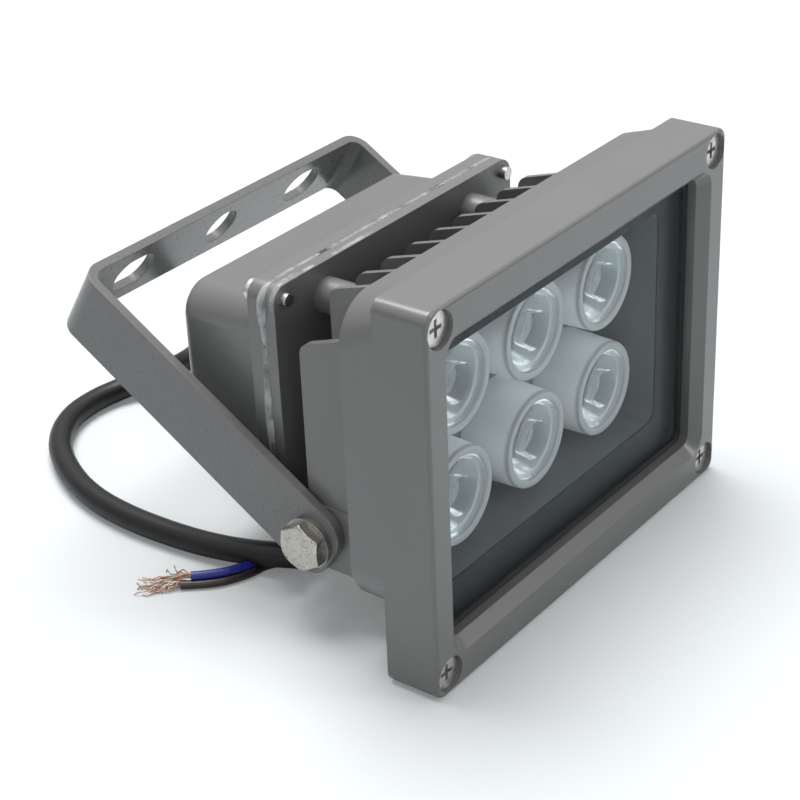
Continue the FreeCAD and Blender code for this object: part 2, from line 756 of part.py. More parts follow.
def driver_box():
    """Cast box with a flange, a drafted wall and posts for its board."""
    body = new_body("driver_box")
    flange = front_drawing(body, "gasket_back")
    centred_rectangle(flange, "plate_width", "plate_height", "plate_corner")
    pad(flange, "box_flange", reverse=True)
    front = front_drawing(body, "flange_back")
    centred_rectangle(front, "box_width", "box_height", "box_corner")
    back = front_drawing(body, "box_back")
    centred_rectangle(back, "box_back_width", "box_back_height", "box_corner")
    loft(front, back)
    fillet(body, "box_edge_round",
           lambda edge, middle: abs(middle.y - value("box_back")) < 0.01)
    mouth = front_drawing(body, "gasket_back")
    centred_rectangle(mouth, "box_width - 2 * box_wall", "box_height - 2 * box_wall",
                      "box_corner - box_wall / 2")
    floor = front_drawing(body, "box_floor")
    centred_rectangle(floor, "box_back_width - 2 * box_wall", "box_back_height - 2 * box_wall",
                      "box_corner - box_wall / 2")
    loft(mouth, floor, cut=True)
    posts = front_drawing(body, "driver_back")
    four_circles(posts, "driver_width / 2 - driver_screw_inset",
                 "driver_height / 2 - driver_screw_inset", "driver_post")
    pad(posts, "box_floor + box_wall / 2 - driver_back", reverse=True)
    holes = front_drawing(body, "0")
    four_circles(holes, "corner_across", "corner_up", "box_screw_diameter + box_screw_play")
    pocket(holes)
    outlet = front_drawing(body, "driver_back")
    circle(outlet, "0", "gland_height", "gland_thread + 2 * thread_play")
    pocket(outlet)
    gasket = new_body("box_gasket")
    ring = front_drawing(gasket, "plate_back")
    centred_rectangle(ring, "plate_width", "plate_height", "plate_corner")
    pad(ring, "gasket_thickness", reverse=True)
    gap = front_drawing(gasket, "plate_back")
    centred_rectangle(gap, "box_width - 2 * box_wall", "box_height - 2 * box_wall",
                      "box_corner - box_wall / 2")
    pocket(gap)
    passes = front_drawing(gasket, "plate_back")
    four_circles(passes, "corner_across", "corner_up", "box_screw_diameter + box_screw_play")
    pocket(passes)
    sealant = new_body("sealant_bead")
    bead = front_drawing(sealant, "plate_back - (sealant_length - gasket_thickness) / 2")
    centred_rectangle(bead, "plate_width + 2 * sealant_width", "plate_height + 2 * sealant_width",
                      "plate_corner + sealant_width")
    pad(bead, "sealant_length", reverse=True)
    fillet(sealant, "sealant_width * 0.8",
           lambda edge, middle: abs(edge.tangentAt(edge.FirstParameter).y) < 0.5)
    hollow = front_drawing(sealant, "0")
    centred_rectangle(hollow, "plate_width", "plate_height", "plate_corner")
    pocket(hollow)


def box_screws():
    """Pan-head screws through the box's flange, their tips standing out in front."""
    number = 0
    for x, z in corners_of("corner_across", "corner_up"):
        number += 1
        screw = turned("box_screw_%d" % number, [
            ("0", "-box_screw_length"), ("box_screw_diameter / 2", "-box_screw_length"),
            ("box_screw_diameter / 2", "0"), ("box_screw_head / 2", "0"),
            ("box_screw_head / 2", "box_screw_head_height", "box_screw_head_height * 0.6"),
            ("0", "box_screw_head_height")], x, "flange_back", z, BACKWARD)
        cross_recess(screw, "box_screw_head_height")


def driver():
    """Driver board on the box's posts, with a coil, a capacitor and leads to the lamps."""
    board = new_body("driver_board")
    face = front_drawing(board, "driver_front")
    centred_rectangle(face, "driver_width", "driver_height", "1")
    pad(face, "driver_thickness", reverse=True)
    coil = new_body("transformer")
    bobbin = front_drawing(coil, "driver_back")
    rectangle(bobbin, "coil_x - coil_width / 2", "coil_x + coil_width / 2",
              "middle - coil_height / 3", "middle + coil_height / 3")
    pad(bobbin, "coil_depth", reverse=True)
    yoke = front_drawing(coil, "driver_back + coil_depth * 0.15")
    rectangle(yoke, "coil_x - coil_width / 3", "coil_x + coil_width / 3",
              "middle - coil_height / 2", "middle + coil_height / 2")
    pad(yoke, "coil_depth * 0.7", reverse=True)
    turned("capacitor", [
        ("0", "0"), ("can_diameter / 2", "0"), ("can_diameter / 2", "can_length", "0.8"),
        ("0", "can_length")], "can_x", "driver_back", "middle", BACKWARD)
    leads = new_body("led_leads")
    ends = front_drawing(leads, "cavity_floor")
    circle(ends, "-lead_spacing / 2", "middle", "lead_diameter")
    circle(ends, "lead_spacing / 2", "middle", "lead_diameter")
    pad(ends, "driver_front - cavity_floor", reverse=True)


def cable_gland():
    """Gland in the back of the box: threaded body, domed nut and rubber bush."""
    body = new_body("cable_gland", "0", "box_back", "gland_height", BACKWARD)
    thread = drawing_on(body, "XY_Plane", "-box_wall - 2")
    circle(thread, "0", "0", "gland_thread")
    pad(thread, "box_wall + 2 + gland_hex_length + gland_nut_length / 3")
    grip = drawing_on(body, "XY_Plane")
    hexagon(grip, "gland_hex")
    pad(grip, "gland_hex_length")
    nut = new_body("gland_nut", "0", "box_back + gland_hex_length", "gland_height", BACKWARD)
    outer = drawing_on(nut, "XY_Plane")
    hexagon(outer, "gland_hex")
    pad(outer, "gland_nut_length")
    dome = drawing_on(nut, "XZ_Plane")
    outline(dome, [("gland_bush / 2 + gland_nut_wall * 0.4", "gland_nut_length"),
                   ("gland_hex", "gland_nut_length"), ("gland_hex", "gland_nut_length * 0.5"),
                   ("gland_hex * 0.57", "gland_nut_length * 0.5"),
                   ("gland_hex * 0.5", "gland_nut_length * 0.8", "2")])
    rounding = nut.newObject("PartDesign::Groove", "Dome")
    rounding.Profile = dome
    rounding.ReferenceAxis = (dome, ["V_Axis"])
    thread_hole = drawing_on(nut, "XY_Plane")
    circle(thread_hole, "0", "0", "gland_thread + 2 * thread_play")
    pocket(thread_hole, "gland_nut_length / 3", reverse=True)
    mouth = drawing_on(nut, "XY_Plane")
    circle(mouth, "0", "0", "gland_bush")
    pocket(mouth, reverse=True)
    turned("gland_bush_seal", [
        ("0", "gland_nut_length / 3"), ("gland_bush / 2", "gland_nut_length / 3"),
        ("gland_bush / 2", "gland_nut_length + gland_bush_proud", "0.4"),
        ("0", "gland_nut_length + gland_bush_proud")],
        "0", "box_back + gland_hex_length", "gland_height", BACKWARD)


def mounting_bracket():
    """Yoke bent from one strip, drawn along its arms from the pivot line."""
    body = new_body("mounting_bracket", "0", "pivot_back", "pivot_up")
    body.Placement = FreeCAD.Placement(body.Placement.Base,
                                       FreeCAD.Rotation(Vector(1, 0, 0), value("yoke_tilt")))
    bind(body, "Placement.Rotation.Angle", "yoke_tilt")
    outer, inner = "yoke_width / 2", "(yoke_width / 2 - strip_thickness)"
    inner_bend = "(yoke_bend - strip_thickness)"
    strip = drawing_on(body, "XY_Plane")
    outline(strip, [
        ("-" + outer, "-yoke_end"), ("-" + inner, "-yoke_end"),
        ("-" + inner, "yoke_reach - strip_thickness", inner_bend),
        (inner, "yoke_reach - strip_thickness", inner_bend), (inner, "-yoke_end"),
        (outer, "-yoke_end"), (outer, "yoke_reach", "yoke_bend"),
        ("-" + outer, "yoke_reach", "yoke_bend")])
    pad(strip, "strip_width", kind="Symmetric")
    end = value("yoke_end")
    fillet(body, "yoke_end_corner", lambda edge, middle: abs(middle.y + end) < 0.01 and
           abs(edge.tangentAt(edge.FirstParameter).x) > 0.9)
    pivots = drawing_on(body, "YZ_Plane")
    circle(pivots, "0", "0", "bolt_diameter + 2 * bolt_play")
    pocket(pivots, kind="Symmetric")
    base = drawing_on(body, "XZ_Plane", "-(yoke_reach - 2 * strip_thickness)")
    circle(base, "0", "0", "yoke_hole")
    for side in ("-", "+"):
        centre = "%syoke_hole_spacing" % side
        rectangle(base, centre + " - yoke_slot_length / 2", centre + " + yoke_slot_length / 2",
                  "-yoke_slot_width / 2", "yoke_slot_width / 2", "yoke_slot_width * 0.499")
    pocket(base, "2 * strip_thickness + yoke_bend")


def pivot_hardware():
    """Hexagon bolt and split spring washer on each side of the yoke."""
    for name, sign, turn in (("left", "-", LEFTWARD), ("right", "", RIGHTWARD)):
        where = ("pivot_back", "pivot_up", turn)
        bolt = new_body("pivot_bolt_" + name, sign + "bolt_seat", *where)
        shank = drawing_on(bolt, "XY_Plane")
        circle(shank, "0", "0", "bolt_diameter")
        pad(shank, "bolt_length", reverse=True)
        head = drawing_on(bolt, "XY_Plane")
        hexagon(head, "bolt_hex")
        pad(head, "bolt_head_height")
        chamfer_hexagon(bolt, "bolt_hex", "bolt_head_height")
        spring = turned("spring_washer_" + name, [
            ("bolt_diameter / 2 + washer_play", "0"), ("spring_washer_diameter / 2", "0"),
            ("spring_washer_diameter / 2", "spring_washer_thickness"),
            ("bolt_diameter / 2 + washer_play", "spring_washer_thickness")],
            sign + "(yoke_width / 2)", *where)
        split = drawing_on(spring, "XY_Plane")
        rectangle(split, "-spring_washer_split / 2", "spring_washer_split / 2",
                  "0", "spring_washer_diameter")
        pocket(split, "spring_washer_thickness", reverse=True)


def bezel_screws():
    """Countersunk cross-head screws that hold the bezel on the housing's flange."""
    number = 0
    for x, z in corners_of("screw_across", "screw_up"):
        number += 1
        screw = turned("bezel_screw_%d" % number, [
            ("0", "0"), ("bezel_screw_head / 2", "0"),
            ("bezel_screw_diameter / 2", "-bezel_screw_head_height"),
            ("bezel_screw_diameter / 2", "-bezel_screw_length"), ("0", "-bezel_screw_length")],
            x, "bezel_screw_recess", z, FORWARD)
        cross_recess(screw)


# The cord's route, in the part's own frame: out of the gland, down behind the box and round
# on the floor to its stripped end under the left pivot. The first point is the gland's mouth.
CORD_ROUTE = [
    (0.0, 97.3, 34.0), (7.8, 108.6, 28.6), (14.3, 118.0, 18.2), (14.5, 127.7, 9.6),
    (9.0, 137.0, 4.7), (-1.5, 143.0, 3.1), (-13.5, 143.8, 3.0), (-24.5, 139.0, 3.0),
    (-33.5, 129.5, 3.0), (-41.0, 117.8, 3.0), (-45.6, 105.0, 3.0), (-47.4, 92.0, 3.0),
    (-45.8, 79.5, 3.0), (-41.4, 68.6, 3.0), (-37.6, 60.3, 3.0), (-34.2, 53.6, 3.0),
]

# The stripped cores turn back beside the jacket's end and lie on the floor
BLUE_ROUTE = [
    (-34.0, 53.1, 1.7), (-32.6, 49.6, 1.5), (-33.6, 46.2, 1.3), (-36.8, 46.0, 1.1),
    (-38.8, 49.4, 1.05), (-39.9, 54.0, 1.05), (-42.7, 57.6, 1.05), (-46.8, 60.4, 1.05),
    (-50.2, 63.2, 1.05), (-51.9, 66.6, 1.05),
]
BROWN_ROUTE = [
    (-34.4, 53.0, 4.1), (-33.4, 48.6, 4.3), (-34.8, 44.0, 3.8), (-38.8, 44.0, 2.6),
    (-41.2, 48.2, 1.3), (-42.4, 52.8, 1.05), (-45.4, 56.2, 1.05), (-49.4, 58.8, 1.05),
    (-53.2, 62.2, 1.05), (-55.2, 67.6, 1.05),
]
# How far each bare strand runs past the insulation, and how far it strays to the side
BLUE_STRANDS = [(5.5, 2.2), (7.5, 1.4), (9.5, 0.6), (8.5, -0.3)]
BROWN_STRANDS = [(5.5, 0.3), (7.5, -1.4), (9.5, -3.4), (8.5, -5.5)]
STRAND_SHARE = 0.45
STRAY_START = 0.35
RUN_SHARE = 0.45


def route_edges(route):
    """Join a route's points with straight runs and tangent arcs as large as the runs allow."""
    points = [Vector(*point) for point in route]
    edges = []
    radii = []
    here = points[0]
    for before, corner, after in zip(points, points[1:], points[2:]):
        inward = (before - corner)
        onward = (after - corner)
        reach = RUN_SHARE * min(inward.Length, onward.Length)
        inward.normalize()
        onward.normalize()
        half_turn = (math.pi - inward.getAngle(onward)) / 2
        radius = reach / math.tan(half_turn)
        start = corner + inward * reach
        end = corner + onward * reach
        bisector = (inward + onward).normalize()
        centre = corner + bisector * (radius / math.cos(half_turn))
        middle = centre - bisector * radius
        edges.append(Part.LineSegment(here, start).toShape())
        edges.append(Part.Arc(start, middle, end).toShape())
        radii.append(round(radius, 1))
        here = end
    edges.append(Part.LineSegment(here, points[-1]).toShape())
    return edges, radii


def tube(name, route, diameter):
    """Sweep a round cord along its route and compare its volume with section times length."""
    edges, radii = route_edges(route)
    path = Part.Wire(edges)
    heading = Vector(*route[1]) - Vector(*route[0])
    section = Part.Wire([Part.Circle(Vector(*route[0]), heading, diameter / 2).toShape()])
    solid = path.makePipeShell([section], True, False)
    ideal = math.pi * diameter ** 2 / 4 * path.Length
    print(name, "length", round(path.Length, 1), "radii", radii,
          "volume ratio", round(solid.Volume / ideal, 4))
    piece = doc.addObject("Part::Feature", name)
    piece.Label = name
    piece.Shape = solid
    PIECES.append(piece)
    return piece


def strands(name, route, spread, diameter):
    """Fan the bare copper strands out past the end of a core."""
    tip = Vector(*route[-1])
    heading = (tip - Vector(*route[-2])).normalize()
    aside = heading.cross(Vector(0, 0, 1))
    solids = []
    for run, stray in spread:
        offset = aside * (stray * STRAY_START / 2)
        knee = tip + offset + heading * (run * STRAND_SHARE)
        end = knee + heading * (run * (1 - STRAND_SHARE)) + aside * stray
        for first, last in ((tip + offset, knee), (knee, end)):
            step = last - first
            solids.append(Part.makeCylinder(diameter / 2, step.Length, first, step))
    bundle = solids[0].multiFuse(solids[1:])
    piece = doc.addObject("Part::Feature", name)
    piece.Label = name
    piece.Shape = bundle
    PIECES.append(piece)


def supply_cord():
    """Free cord with its two stripped cores."""
    exit_point = (0.0, value("cord_exit - bezel_depth / 2"), value("gland_height"))
    tube("power_cord", [exit_point] + CORD_ROUTE, value("cord_diameter"))
    tube("core_blue", BLUE_ROUTE, value("core_diameter"))
    tube("core_brown", BROWN_ROUTE, value("core_diameter"))
    strands("copper_blue", BLUE_ROUTE, BLUE_STRANDS, value("strand_diameter"))
    strands("copper_brown", BROWN_ROUTE, BROWN_STRANDS, value("strand_diameter"))


def check_and_write():
    """Check every feature and solid, then write one file for each piece."""
    doc.recompute()
    for item in doc.Objects:
        if "Invalid" in item.State or "Error" in item.State:
            raise RuntimeError("%s failed: %s" % (item.Label, item.State))
    os.makedirs("parts", exist_ok=True)
    for piece in PIECES:
        shape = piece.Shape
        if shape.isNull() or not shape.isValid() or not shape.Solids:
            raise RuntimeError(piece.Label + " has no valid solid")
        shape.exportStep("parts/%s.step" % piece.Label)
    print(len(PIECES), "pieces written")


front_bezel()
window()
heat_sink_housing()
lamps()
rear_plate()
driver_box()
box_screws()
driver()
cable_gland()
mounting_bracket()
pivot_hardware()
bezel_screws()
supply_cord()
check_and_write()
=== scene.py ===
# %% [markdown]
# # An infrared lamp, dressed for its portrait
#
# The packed model already has every solid in its right place. This lesson adds what a
# mould, a paint line and a cable drum add to the real thing: softened edges, satin
# paint, frosted lens holders, sealant that squeezed out of a seam and a frayed cord.
# Each step is a small cell: a few sentences of reasoning, then a few lines of code.

# %% Load the fixed frame
import json
import math
import random

import bmesh
import bpy
from mathutils import Matrix, Vector


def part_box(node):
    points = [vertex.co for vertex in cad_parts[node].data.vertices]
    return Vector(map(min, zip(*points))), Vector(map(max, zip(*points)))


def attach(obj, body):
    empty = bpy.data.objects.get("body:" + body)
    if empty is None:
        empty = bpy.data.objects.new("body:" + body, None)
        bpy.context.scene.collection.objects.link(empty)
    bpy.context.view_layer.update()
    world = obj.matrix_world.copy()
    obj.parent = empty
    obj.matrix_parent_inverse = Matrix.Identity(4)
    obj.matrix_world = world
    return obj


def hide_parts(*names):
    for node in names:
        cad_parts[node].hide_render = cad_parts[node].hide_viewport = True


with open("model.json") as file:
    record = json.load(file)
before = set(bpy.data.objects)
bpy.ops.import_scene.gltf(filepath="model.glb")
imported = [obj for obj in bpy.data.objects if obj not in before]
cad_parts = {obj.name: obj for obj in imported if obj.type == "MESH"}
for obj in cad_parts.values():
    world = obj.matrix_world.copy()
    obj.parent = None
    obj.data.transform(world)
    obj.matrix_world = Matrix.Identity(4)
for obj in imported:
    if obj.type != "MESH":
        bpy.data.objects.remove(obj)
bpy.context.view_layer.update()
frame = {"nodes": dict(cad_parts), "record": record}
scene = bpy.context.scene
slot_names = {part["node"]: part["material_slot"] for part in frame["record"]["subparts"]}
print("pieces in the frame:", len(slot_names))

# %% [markdown]
# ## The camera
#
# The picture was taken from the lamp's left front, a little above it. The three
# directions below come from matching the bezel's corners, the screws and the fins, and
# they turn straight into the columns of the camera's matrix. A camera looks along its
# own minus Z, so the third column is the viewing direction reversed.

# %% Set up the camera
camera_right = Vector((0.59766664, -0.80087921, -0.03724349))
camera_up = Vector((0.40335, 0.26021, 0.87728))
view_direction = Vector((0.69289745, 0.53933786, -0.47854758))
camera_place = Vector((-0.32907, -0.21117, 0.25708))

lens_data = bpy.data.cameras.new("portrait_lens")
lens_data.sensor_width = 36.0
lens_data.lens = 91.9
lens_data.clip_start = 0.01
camera = bpy.data.objects.new("portrait_camera", lens_data)
turned_axes = Matrix((camera_right, camera_up, -view_direction)).transposed()
camera.matrix_world = Matrix.Translation(camera_place) @ turned_axes.to_4x4()
scene.collection.objects.link(camera)
scene.camera = camera
print("camera stands", round(camera_place.length, 3), "m from the lamp's foot")

# %% [markdown]
# ## Shader maths that reads like maths
#
# A shader is a graph of small nodes. Wiring it by hand is long, so one class wraps a
# node's output and lets Python's own operators add the Math nodes. Its `add` method
# makes any other node: settings go in first, then a value or a wire for each socket.

# %% A wire that can be calculated with
class Wire:
    """An output of a shader node that takes part in Python expressions."""

    def __init__(self, tree, socket=None):
        self.tree = tree
        self.socket = socket

    def add(self, kind, settings=None, sockets=None, output=0):
        """Add a node: its settings first, then a value or a wire for each socket."""
        node = self.tree.nodes.new(kind)
        for name, value in (settings or {}).items():
            if name == "stops":
                set_stops(node.color_ramp, value)
            else:
                setattr(node, name, value)
        for name, value in (sockets or {}).items():
            if isinstance(value, Wire):
                self.tree.links.new(value.socket, node.inputs[name])
            else:
                node.inputs[name].default_value = value
        return Wire(self.tree, node.outputs[output])

    def math(self, operation, first, second):
        """Add one Math node for two values or wires."""
        return self.add("ShaderNodeMath", {"operation": operation}, {0: first, 1: second})

    def __add__(self, other):
        return self.math("ADD", self, other)

    def __radd__(self, other):
        return self.math("ADD", other, self)

    def __sub__(self, other):
        return self.math("SUBTRACT", self, other)

    def __rsub__(self, other):
        return self.math("SUBTRACT", other, self)

    def __mul__(self, other):
        return self.math("MULTIPLY", self, other)

    def __rmul__(self, other):
        return self.math("MULTIPLY", other, self)

    def mixed(self, first, second):
        """Blend two colours, with this wire as the share of the second."""
        return self.add("ShaderNodeMix", {"data_type": "RGBA"},
                        {0: self, 6: first, 7: second}, output=2)


def set_stops(ramp, stops):
    """Give a colour ramp its places and greys."""
    while len(ramp.elements) < len(stops):
        ramp.elements.new(0.5)
    for element, (place, grey) in zip(ramp.elements, stops):
        element.position = place
        element.color = (grey, grey, grey, 1.0)


print("operators ready:", [name for name in vars(Wire) if name.startswith("__r")])

# %% [markdown]
# ## Light and background
#
# A product photograph has large soft lights. Area lamps about as large as their own
# distance give soft shadows and long clean highlights on satin paint. The world looks
# white to the camera and through glass, but lights the object gently. In a reflection it
# is bright overhead and dimmer near the horizon, like a room with a large ceiling light.

# %% Hang the lamps
lamp_target = Vector((0.0, 0.03, 0.04))


def soft_lamp(name, place, size, power):
    """An area lamp that faces the middle of the object."""
    data = bpy.data.lights.new(name, "AREA")
    data.shape = "DISK"
    data.size = size
    data.energy = power
    lamp = bpy.data.objects.new(name, data)
    lamp.location = place
    aim = lamp_target - Vector(place)
    lamp.rotation_euler = aim.to_track_quat("-Z", "Y").to_euler()
    scene.collection.objects.link(lamp)


soft_lamp("overhead", (0.12, 0.28, 1.10), 0.8, 17.0)
soft_lamp("front_left", (-1.00, -0.50, 0.70), 0.6, 1.3)
soft_lamp("front_right", (0.55, -1.05, 0.60), 0.6, 4.8)

# %% Wrap the world round them
world = bpy.data.worlds.new("studio")
scene.world = world
world.use_nodes = True
world.node_tree.nodes.clear()
sky = Wire(world.node_tree)
rays = sky.add("ShaderNodeLightPath").socket.node
to_camera, in_mirror, through_glass = (
    Wire(world.node_tree, rays.outputs[name])
    for name in ("Is Camera Ray", "Is Glossy Ray", "Is Transmission Ray"))
direct = sky.math("MAXIMUM", to_camera, through_glass)
gentle = sky.add("ShaderNodeBackground", {}, {"Color": (0.93, 0.96, 1.0, 1.0), "Strength": 0.34})
white = sky.add("ShaderNodeBackground", {}, {"Color": (0.99, 1.0, 1.0, 1.0), "Strength": 0.92})
upward = sky.add("ShaderNodeSeparateXYZ", {},
                 {"Vector": sky.add("ShaderNodeTexCoord", output=0)}, output=2)
brightness = sky.add("ShaderNodeMapRange", {"interpolation_type": "SMOOTHSTEP"},
                     {"Value": upward, "From Min": 0.0, "From Max": 0.8,
                      "To Min": 0.40, "To Max": 1.15})
mirrored = sky.add("ShaderNodeBackground", {}, {"Color": (1.0, 1.0, 1.0, 1.0),
                                                "Strength": brightness})
backdrop = sky.add("ShaderNodeMixShader", {}, {0: direct, 1: gentle, 2: white})
backdrop = sky.add("ShaderNodeMixShader", {}, {0: in_mirror, 1: backdrop, 2: mirrored})
world_output = world.node_tree.nodes.new("ShaderNodeOutputWorld")
world.node_tree.links.new(backdrop.socket, world_output.inputs["Surface"])
scene.view_settings.view_transform = "Standard"
print("world nodes:", len(world.node_tree.nodes))

# %% [markdown]
# ## The first finishes
#
# Every finish starts as a Principled shader. Patterns read Object coordinates, which are
# metres here, so a noise scale of 900 means grains of about a millimetre. What changes
# over a surface goes only into colour, roughness, emission, a bump or a mix's share.

# %% Helpers for every finish
def with_alpha(colour, factor=1.0):
    """A colour for a socket: each channel times a factor, with a full alpha."""
    return (*(min(1.0, channel * factor) for channel in colour), 1.0)


def finish_base(name, colour, roughness, **fixed):
    """Start a finish and return the material, its shader node and a wire to build on."""
    material = bpy.data.materials.new(name)
    material.use_nodes = True
    material.node_tree.nodes.clear()
    wire = Wire(material.node_tree)
    values = {"Base Color": with_alpha(colour), "Roughness": roughness}
    for key, value in fixed.items():
        values[key.replace("_", " ").title().replace("Ior", "IOR")] = value
    shader = wire.add("ShaderNodeBsdfPrincipled", {}, values).socket.node
    output = material.node_tree.nodes.new("ShaderNodeOutputMaterial")
    material.node_tree.links.new(shader.outputs[0], output.inputs["Surface"])
    return material, shader, wire


def shown(material, wire):
    """Send a wire to the material's output instead of the plain shader."""
    nodes = material.node_tree.nodes
    output = next(node for node in nodes if node.type == "OUTPUT_MATERIAL")
    material.node_tree.links.new(wire.socket, output.inputs["Surface"])


print("helpers: with_alpha, finish_base, shown")

# %% Helpers for patterns
def grain(wire, scale, detail=3.0, rough=0.55):
    """Fine-grained noise in the object's own coordinates."""
    place = wire.add("ShaderNodeTexCoord", output=3)
    return wire.add("ShaderNodeTexNoise", {}, {"Vector": place, "Scale": scale,
                                              "Detail": detail, "Roughness": rough})


def feed(shader, socket, wire):
    """Let a wire drive one socket of a shader."""
    shader.id_data.links.new(wire.socket, shader.inputs[socket])


def bumped(shader, height, strength, distance):
    """Turn a height pattern into surface relief."""
    relief = height.add("ShaderNodeBump", {}, {"Height": height, "Strength": strength,
                                              "Distance": distance})
    feed(shader, "Normal", relief)


def spread(wire, low, high):
    """Stretch a pattern that runs from about 0.2 to 0.8 to a range of values."""
    return wire.add("ShaderNodeMapRange", {"interpolation_type": "SMOOTHSTEP"},
                    {"Value": wire, "From Min": 0.2, "From Max": 0.8,
                     "To Min": low, "To Max": high})


print("helpers: grain, feed, bumped, spread")

# %% [markdown]
# ## Plastic, rubber and print
#
# Moulded rubber and plastic are dull because their skin is full of tiny pits, so noise
# goes into both the roughness and the relief. A slower noise makes the tone uneven. The
# printed border reflects least, and the cord's jacket has a faint waxy coat.

# %% Mix the plain finishes
def moulded(name, colour, roughness, scale, relief, **fixed):
    """A moulded skin: small changes of tone and gloss, and shallow pits."""
    material, shader, wire = finish_base(name, colour, roughness, **fixed)
    broad = grain(wire, scale * 0.12)
    fine = grain(wire, scale)
    tone = spread(broad, 0.0, 1.0)
    feed(shader, "Base Color", tone.mixed(with_alpha(colour, 0.82), with_alpha(colour, 1.15)))
    feed(shader, "Roughness", spread(fine, roughness - 0.07, roughness + 0.08))
    bumped(shader, fine, 0.35, relief)
    return material


print_gloss = {"specular_ior_level": 0.1}
jacket_gloss = {"coat_weight": 0.04, "coat_roughness": 0.3, "specular_ior_level": 0.3}
finishes = {}
for name, colour, roughness, scale, relief, gloss in (
        ("black_rubber", (0.016, 0.016, 0.017), 0.52, 1800.0, 0.00004, {}),
        ("mask_print", (0.026, 0.027, 0.030), 0.60, 2600.0, 0.00001, print_gloss),
        # board_white is darkened to 0.22: painted shade for the dim inside of the housing.
        ("board_white", (0.22, 0.23, 0.24), 0.42, 1200.0, 0.00002, {}),
        ("board_green", (0.03, 0.16, 0.07), 0.35, 1500.0, 0.00002, {}),
        ("coil_yellow", (0.62, 0.45, 0.08), 0.40, 900.0, 0.00003, {}),
        ("can_sleeve", (0.03, 0.035, 0.07), 0.28, 1300.0, 0.00001, {}),
        ("lead_red", (0.45, 0.03, 0.025), 0.33, 1700.0, 0.00001, {}),
        ("gland_plastic", (0.020, 0.020, 0.021), 0.42, 1500.0, 0.00004, {}),
        ("cord_jacket", (0.006, 0.006, 0.007), 0.40, 1400.0, 0.00003, jacket_gloss),
        ("core_blue", (0.012, 0.020, 0.24), 0.30, 2100.0, 0.00001, {}),
        ("core_brown", (0.020, 0.011, 0.009), 0.32, 2100.0, 0.00001, {}),
        ("led_chip", (0.78, 0.74, 0.55), 0.22, 2500.0, 0.00001, {})):
    finishes[name] = moulded(name, colour, roughness, scale, relief, **gloss)
print("moulded finishes:", len(finishes))

# %% [markdown]
# ## Frosted holders
#
# A lens holder's frosted wall glows with the light inside it, so its colour is pale: the
# plastic's own white with painted glow. The cut rim gets a darker grey, a painted shade.
# Depth along the line of sight tells the two apart, and a Map Range node makes the step
# between them soft.

# %% Mix the frosted finish
rim_painted_shade, wall_white_and_glow = (0.46, 0.48, 0.49), (0.90, 0.92, 0.94)
frosted, frosted_shader, frosted_wire = finish_base(
    "holder_white", wall_white_and_glow, 0.42, subsurface_weight=0.2, subsurface_scale=0.003)
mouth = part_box("lens_holder_1")[0].y
depth = frosted_wire.add("ShaderNodeSeparateXYZ", {},
                         {"Vector": frosted_wire.add("ShaderNodeTexCoord", output=3)}, output=1)
behind_rim = frosted_wire.add("ShaderNodeMapRange", {"interpolation_type": "SMOOTHSTEP"},
                              {"Value": depth, "From Min": mouth + 0.0004,
                               "From Max": mouth + 0.0016, "To Min": 0.0, "To Max": 1.0})
# Painted light: a grey rim of painted shade, then the wall's white with painted glow.
feed(frosted_shader, "Base Color", behind_rim.mixed(with_alpha(rim_painted_shade), with_alpha(wall_white_and_glow)))
bumped(frosted_shader, grain(frosted_wire, 1600.0), 0.3, 0.00002)
finishes["holder_white"] = frosted
print("the holders' rims start at", round(mouth * 1000, 2), "mm")

# %% [markdown]
# ## Satin paint
#
# The castings and the yoke are sprayed the same grey, the yoke a little darker and
# glossier. Paint dries with a fine orange peel, so one fine noise feeds its gloss and its
# relief, and a slow one its tone. A thin clear coat gives the highlights on the bevels.

# %% Mix the two paints
def paint(name, colour, roughness, peel):
    """Satin paint with orange peel, uneven gloss and a few pale dust specks."""
    material, shader, wire = finish_base(name, colour, roughness, coat_weight=0.25,
                                         coat_roughness=0.18)
    clouds = grain(wire, 40.0, detail=1.0)
    skin = grain(wire, 1100.0, detail=2.0)
    cloudy = clouds * 0.88 + skin * 0.12
    tone = cloudy.mixed(with_alpha(colour, 0.94), with_alpha(colour, 1.06))
    specks = wire.add("ShaderNodeValToRGB", {"stops": [(0.80, 0.0), (0.84, 1.0)]},
                      {"Fac": grain(wire, 1500.0, detail=0.0)})
    feed(shader, "Base Color", (specks * 0.20).mixed(tone, with_alpha(colour, 1.4)))
    feed(shader, "Roughness", spread(skin, roughness - 0.01, roughness + 0.01) + specks * 0.05)
    bumped(shader, skin, 0.08, peel)
    return material


finishes["casting_paint"] = paint("casting_paint", (0.134, 0.134, 0.131), 0.34, 0.00006)
finishes["bracket_paint"] = paint("bracket_paint", (0.122, 0.122, 0.120), 0.28, 0.00004)
print("paints:", [name for name in finishes if name.endswith("paint")])

# %% [markdown]
# ## Bright metal
#
# Plated steel is fully metallic, so its colour is its reflection. Small pits and stains
# in the plating show as darker specks on the bolt's pale face. The copper strands are
# partly tinned, so their colour wanders towards silver.

# %% Mix the metals
def plated(name, colour, roughness, speckle, stain, relief=0.3):
    """Plated steel: mottled gloss, with small dark specks in the plating."""
    material, shader, wire = finish_base(name, colour, roughness, metallic=1.0)
    mottle = grain(wire, 700.0, detail=4.0)
    pits = wire.add("ShaderNodeValToRGB", {"stops": [(0.60, 0.0), (0.68, 1.0)]},
                    {"Fac": grain(wire, 2600.0, detail=1.0)}) * speckle
    stained = pits + spread(mottle, 0.0, 0.35)
    feed(shader, "Base Color", stained.mixed(with_alpha(colour), with_alpha(colour, stain)))
    feed(shader, "Roughness", spread(mottle, roughness - 0.06, roughness + 0.08) + pits * 0.3)
    bumped(shader, mottle, relief, 0.00003)
    return material


